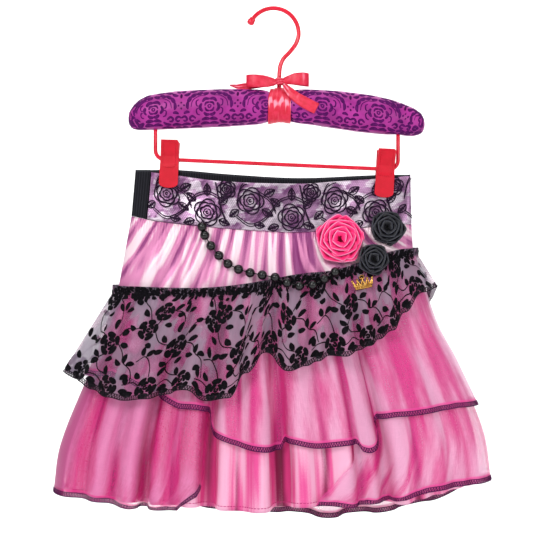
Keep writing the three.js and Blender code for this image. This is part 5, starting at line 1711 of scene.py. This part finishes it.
damask_cloth = pad_cloth()
damask = damask_pattern(damask_cloth)
points, faces = damask.on(damask_cloth, 0)
points = laid_on(pad, points, np.concatenate(damask.points)[:, 2] * 0.8)
DAMASK_FLOCK = plain_finish(
    "damask_flock", shade(62, 8, 72), shade(96, 18, 98), 3, 0.9, Specular_IOR_Level=0.15
)
add_piece("hanger_pad_damask", points, faces, DAMASK_FLOCK, "damask_pad")


# Ribbon round the middle of the padded bar, and the bow
def ribbon_finish():
    """Coral satin ribbon with fine ribs across it and a firm edge, and a painted highlight where its fold
    chart is high.
    """
    finish = Finish("coral_satin_ribbon")
    u, v, fold = finish.chart()
    ribs = sine(u * 5.6)
    cloud = finish.noise(u / 7, v / 5, 0.0, 3.0)
    body = finish.mix(shade(202, 18, 50), shade(216, 38, 74), finish.steps(cloud, 0.3, 0.7))
    # Painted highlight where the fold chart is high.
    colour = finish.mix(body, shade(255, 168, 190), finish.steps(fold, 0.62, 1.0) * 0.7)
    bump = finish.bump(ribs * 0.3 + cloud, 0.25, 0.0003)
    return finish.done(
        Base_Color=colour, Roughness=0.36 + (cloud - 0.5) * 0.2, Normal=bump,
        Specular_IOR_Level=0.35,
    )


RIBBON = ribbon_finish()
# Ribbon rows: x, y, z, width
LOOP_LEFT = [
    (3.2, -7.6, -74.6, 5), (-3, -10, -74.8, 9.6), (-10, -12, -74.5, 12.2), (-20, -12.4, -74, 12.8),
    (-27.5, -8.4, -73.7, 12.4), (-22, -5.2, -74, 11.6), (-12, -4.6, -74.3, 10), (-4, -4.9, -74.6, 7),
    (3.2, -5.6, -74.5, 4),
]
LOOP_RIGHT = [
    (9.2, -7.6, -73.4, 5), (15, -10, -72.9, 9), (22, -12.4, -72.2, 12), (31, -12.4, -72.3, 13.4),
    (36, -8.4, -72.8, 13.4), (31, -5.2, -72.6, 12), (23, -4.6, -72.4, 10), (16, -4.9, -72.9, 7),
    (9.2, -5.6, -73.5, 4),
]
TAIL_LEFT = [
    (1, -3.3, -75.6, 4), (-12, -3.2, -76.6, 6), (-28, -3.1, -78.1, 6.8), (-36, -3.1, -78.6, 5),
    (-44.5, -3.1, -77.2, 1.2),
]
TAIL_RIGHT = [
    (10.6, -9.2, -77.4, 4), (15.5, -14.6, -84, 8), (22, -16.2, -90.5, 10), (32, -17, -97, 11.5),
    (43.5, -17.2, -103, 11.5),
]


def ribbon_strip(rows, slanted, crown, seed):
    """A ribbon's grid along its rows, a little crowned across, with soft dents."""
    line = curve(rows, 1.3)
    run = np.gradient(line[:, [0, 2]], axis=0)
    run /= np.linalg.norm(run, axis=1, keepdims=True) + 1e-9
    side_x = run[:, 1] if slanted else np.zeros(len(line))
    side_z = -run[:, 0] if slanted else -np.ones(len(line))
    across = np.linspace(-0.5, 0.5, 9)
    x = line[:, :1] + across[None, :] * (line[:, 3] * side_x)[:, None]
    z = line[:, 2:3] + across[None, :] * (line[:, 3] * side_z)[:, None]
    narrow = smooth((11 - line[:, 3]) / 8)[:, None]
    dents = narrow * 0.7 * np.cos(across[None, :] * 4 * math.pi + seed)
    y = line[:, 1:2] - crown * (0.25 - across[None, :] ** 2) * 4 + dents
    grid = np.stack([x, y + np.zeros_like(x), z], axis=2)
    # The chart for the painted highlight: higher where the ribbon stands forward, with random streaks.
    fold = 0.5 - dents / 1.4
    return grid, np.clip(fold + 0.3 * ripples(x, z, seed, 9, 0.6), 0, 1)


def add_ribbon(node, rows, slanted, crown, seed):
    grid, fold = ribbon_strip(rows, slanted, crown, seed)
    add_cloth(node + "_ribbon", grid, RIBBON, "coral_ribbon", node, fold, wall=0.4)


add_ribbon("bow_loop_left", LOOP_LEFT, False, 0.5, 1)
add_ribbon("bow_loop_right", LOOP_RIGHT, False, 0.5, 2)
add_ribbon("bow_tail_left", TAIL_LEFT, False, 0.1, 3)
add_ribbon("bow_tail_right", TAIL_RIGHT, True, 0.4, 4)


def wrap_grid():
    """The ribbon's turn round the pad, drawn in at its middle, with soft creases across and a chart for a
    painted highlight band round it.
    """
    table = np.array(PAD, float)
    x = np.linspace(-5.5, 17.5, 19)
    z = along(table[:, :2], x)
    half = along(table[:, [0, 2]], x)
    angle = -math.pi + 2 * math.pi * np.linspace(0.004, 0.996, 72)[:, None]
    drawn_in = 1 - 0.2 * smooth((np.cos(angle) - 0.3) / 0.7)
    crease = 0.16 * np.sin(x * 1.1 + 2 * np.sin(angle * 2)) + 0.1 * np.sin(x * 2.3 + angle)
    reach = half[None, :] + 1.05 + crease
    depth = half[None, :] * PAD_DEPTH + 1.05 + crease
    aside = x[None, :] - RIBBON_MIDDLE
    wide = RIBBON_MIDDLE + aside * drawn_in
    peak = 2.2 * smooth((np.cos(angle) - 0.8) / 0.2) * np.exp(-((aside / 6) ** 2))
    high = z[None, :] + reach * np.cos(angle) + peak
    grid = np.stack([wide, depth * np.sin(angle), high], axis=2)
    # Painted highlight: a band round the wrap a little above its middle height; the creases that stand
    # out are lighter too.
    band = np.exp(-(((np.cos(angle) - 0.12 + 0.12 * np.sin(x * 0.5)) / 0.2) ** 2))
    return grid, np.clip(0.45 + crease * 1.5 + 0.6 * band, 0, 1)


grid, fold = wrap_grid()
add_cloth("ribbon_wrap_band", grid, RIBBON, "coral_ribbon", "ribbon_wrap", fold, wall=0.6)


def knot_grid():
    """The knot: a short folded band, bulging and pinched, closed round its back."""
    around = np.linspace(0, 2 * math.pi, 41)[:, None]
    across = np.linspace(-1, 1, 13)[None, :]
    crease = 0.35 * np.cos(3 * across * math.pi + np.sin(around * 2))
    radius = 4.1 * np.sqrt(1 - 0.5 * across**2) + crease
    x = 6.2 + radius * 1.05 * np.sin(around) + 0.6 * across
    y = -6.6 - radius * np.cos(around)
    z = -73.8 - 3.4 * across + 0 * around
    # The chart for the painted highlight: higher on the creases that stand out.
    return np.stack([x, y, z], axis=2), np.clip(0.5 + crease * np.ones_like(around), 0, 1)


grid, fold = knot_grid()
add_cloth("bow_knot_band", grid, RIBBON, "coral_ribbon", "bow_knot", fold, wall=0.5)

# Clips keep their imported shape, with softened edges
for name in ("clip_left_front", "clip_left_back", "clip_right_front", "clip_right_back"):
    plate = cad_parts[name]
    plate.data.materials.clear()
    plate.data.materials.append(RED_PLASTIC)
    weld = plate.modifiers.new("weld", "WELD")
    weld.merge_threshold = 0.00001
    soften = plate.modifiers.new("soften", "BEVEL")
    soften.width = 0.0005
    soften.segments = 2
    soften.limit_method = "ANGLE"
    soften.angle_limit = math.radians(32)

# Studio: a pale floor that runs up into a pale wall, soft lights all round, and the camera
FLOOR_PROFILE = [
    (-2.4, -0.62), (0.9, -0.62), (1.15, -0.58), (1.3, -0.45), (1.36, -0.2), (1.36, 2.2),
]
FLOOR_HALF = 3.2
MIDDLE = (0.0, 0.0, -0.3)
WALL = (0.0, 1.3, -0.3)
# Each light: its place, what it faces, its width and height, and its power
LIGHTS = {
    "key_left": ((-1.1, -1.6, 0.5), MIDDLE, (0.9, 1.2), 2.5),
    "fill_right": ((1.3, -1.4, 0.1), MIDDLE, (0.7, 1.4), 4.6),
    "top": ((0.0, -0.4, 1.3), MIDDLE, (1.4, 1.0), 8.5),
    "sparkle_left": ((-0.5, -1.1, 0.3), MIDDLE, (0.4, 0.4), 7.4),
    "sparkle_right": ((0.55, -1.2, 0.05), MIDDLE, (0.24, 0.24), 2.8),
    "behind": ((0.0, 0.75, 0.9), WALL, (2.6, 0.6), 24),
}
SKY = 0.39
CAMERA_PLACE = (-0.00706, -1.15, -0.26204)
CAMERA_LENS = 75.93
CAMERA_SENSOR = 36


def add_studio():
    points = [(x, y, z) for x in (-FLOOR_HALF, FLOOR_HALF) for y, z in FLOOR_PROFILE]
    count = len(FLOOR_PROFILE)
    faces = [(k, k + count, k + count + 1, k + 1) for k in range(count - 1)]
    mesh = bpy.data.meshes.new("studio_floor")
    mesh.from_pydata(points, [], faces)
    mesh.shade_smooth()
    floor = linked("studio_floor", mesh)
    mesh.materials.append(
        plain_finish("pale_floor", shade(247, 247, 248), shade(251, 251, 252), 400, 0.9, bumps=0)
    )


def add_light(name, place, aim, size, power):
    light = bpy.data.lights.new(name, "AREA")
    light.shape = "RECTANGLE"
    light.size = size[0]
    light.size_y = size[1]
    light.energy = power
    made = linked(name, light)
    made.location = place
    made.rotation_mode = "QUATERNION"
    made.rotation_quaternion = (Vector(aim) - Vector(place)).to_track_quat("-Z", "Y")


def add_camera():
    camera = bpy.data.cameras.new("camera")
    camera.lens = CAMERA_LENS
    camera.sensor_width = CAMERA_SENSOR
    camera.clip_start = 0.05
    made = linked("camera", camera)
    made.location = CAMERA_PLACE
    made.rotation_euler = (math.pi / 2, 0, 0)
    bpy.context.scene.camera = made


add_studio()
for name, light in LIGHTS.items():
    add_light(name, *light)
world = bpy.data.worlds.new("studio")
world.use_nodes = True
sky = world.node_tree.nodes["Background"]
sky.inputs["Color"].default_value = (1, 1, 1, 1)
sky.inputs["Strength"].default_value = SKY
bpy.context.scene.world = world
bpy.context.scene.view_settings.view_transform = "Standard"
bpy.context.scene.view_settings.look = "None"
add_camera()
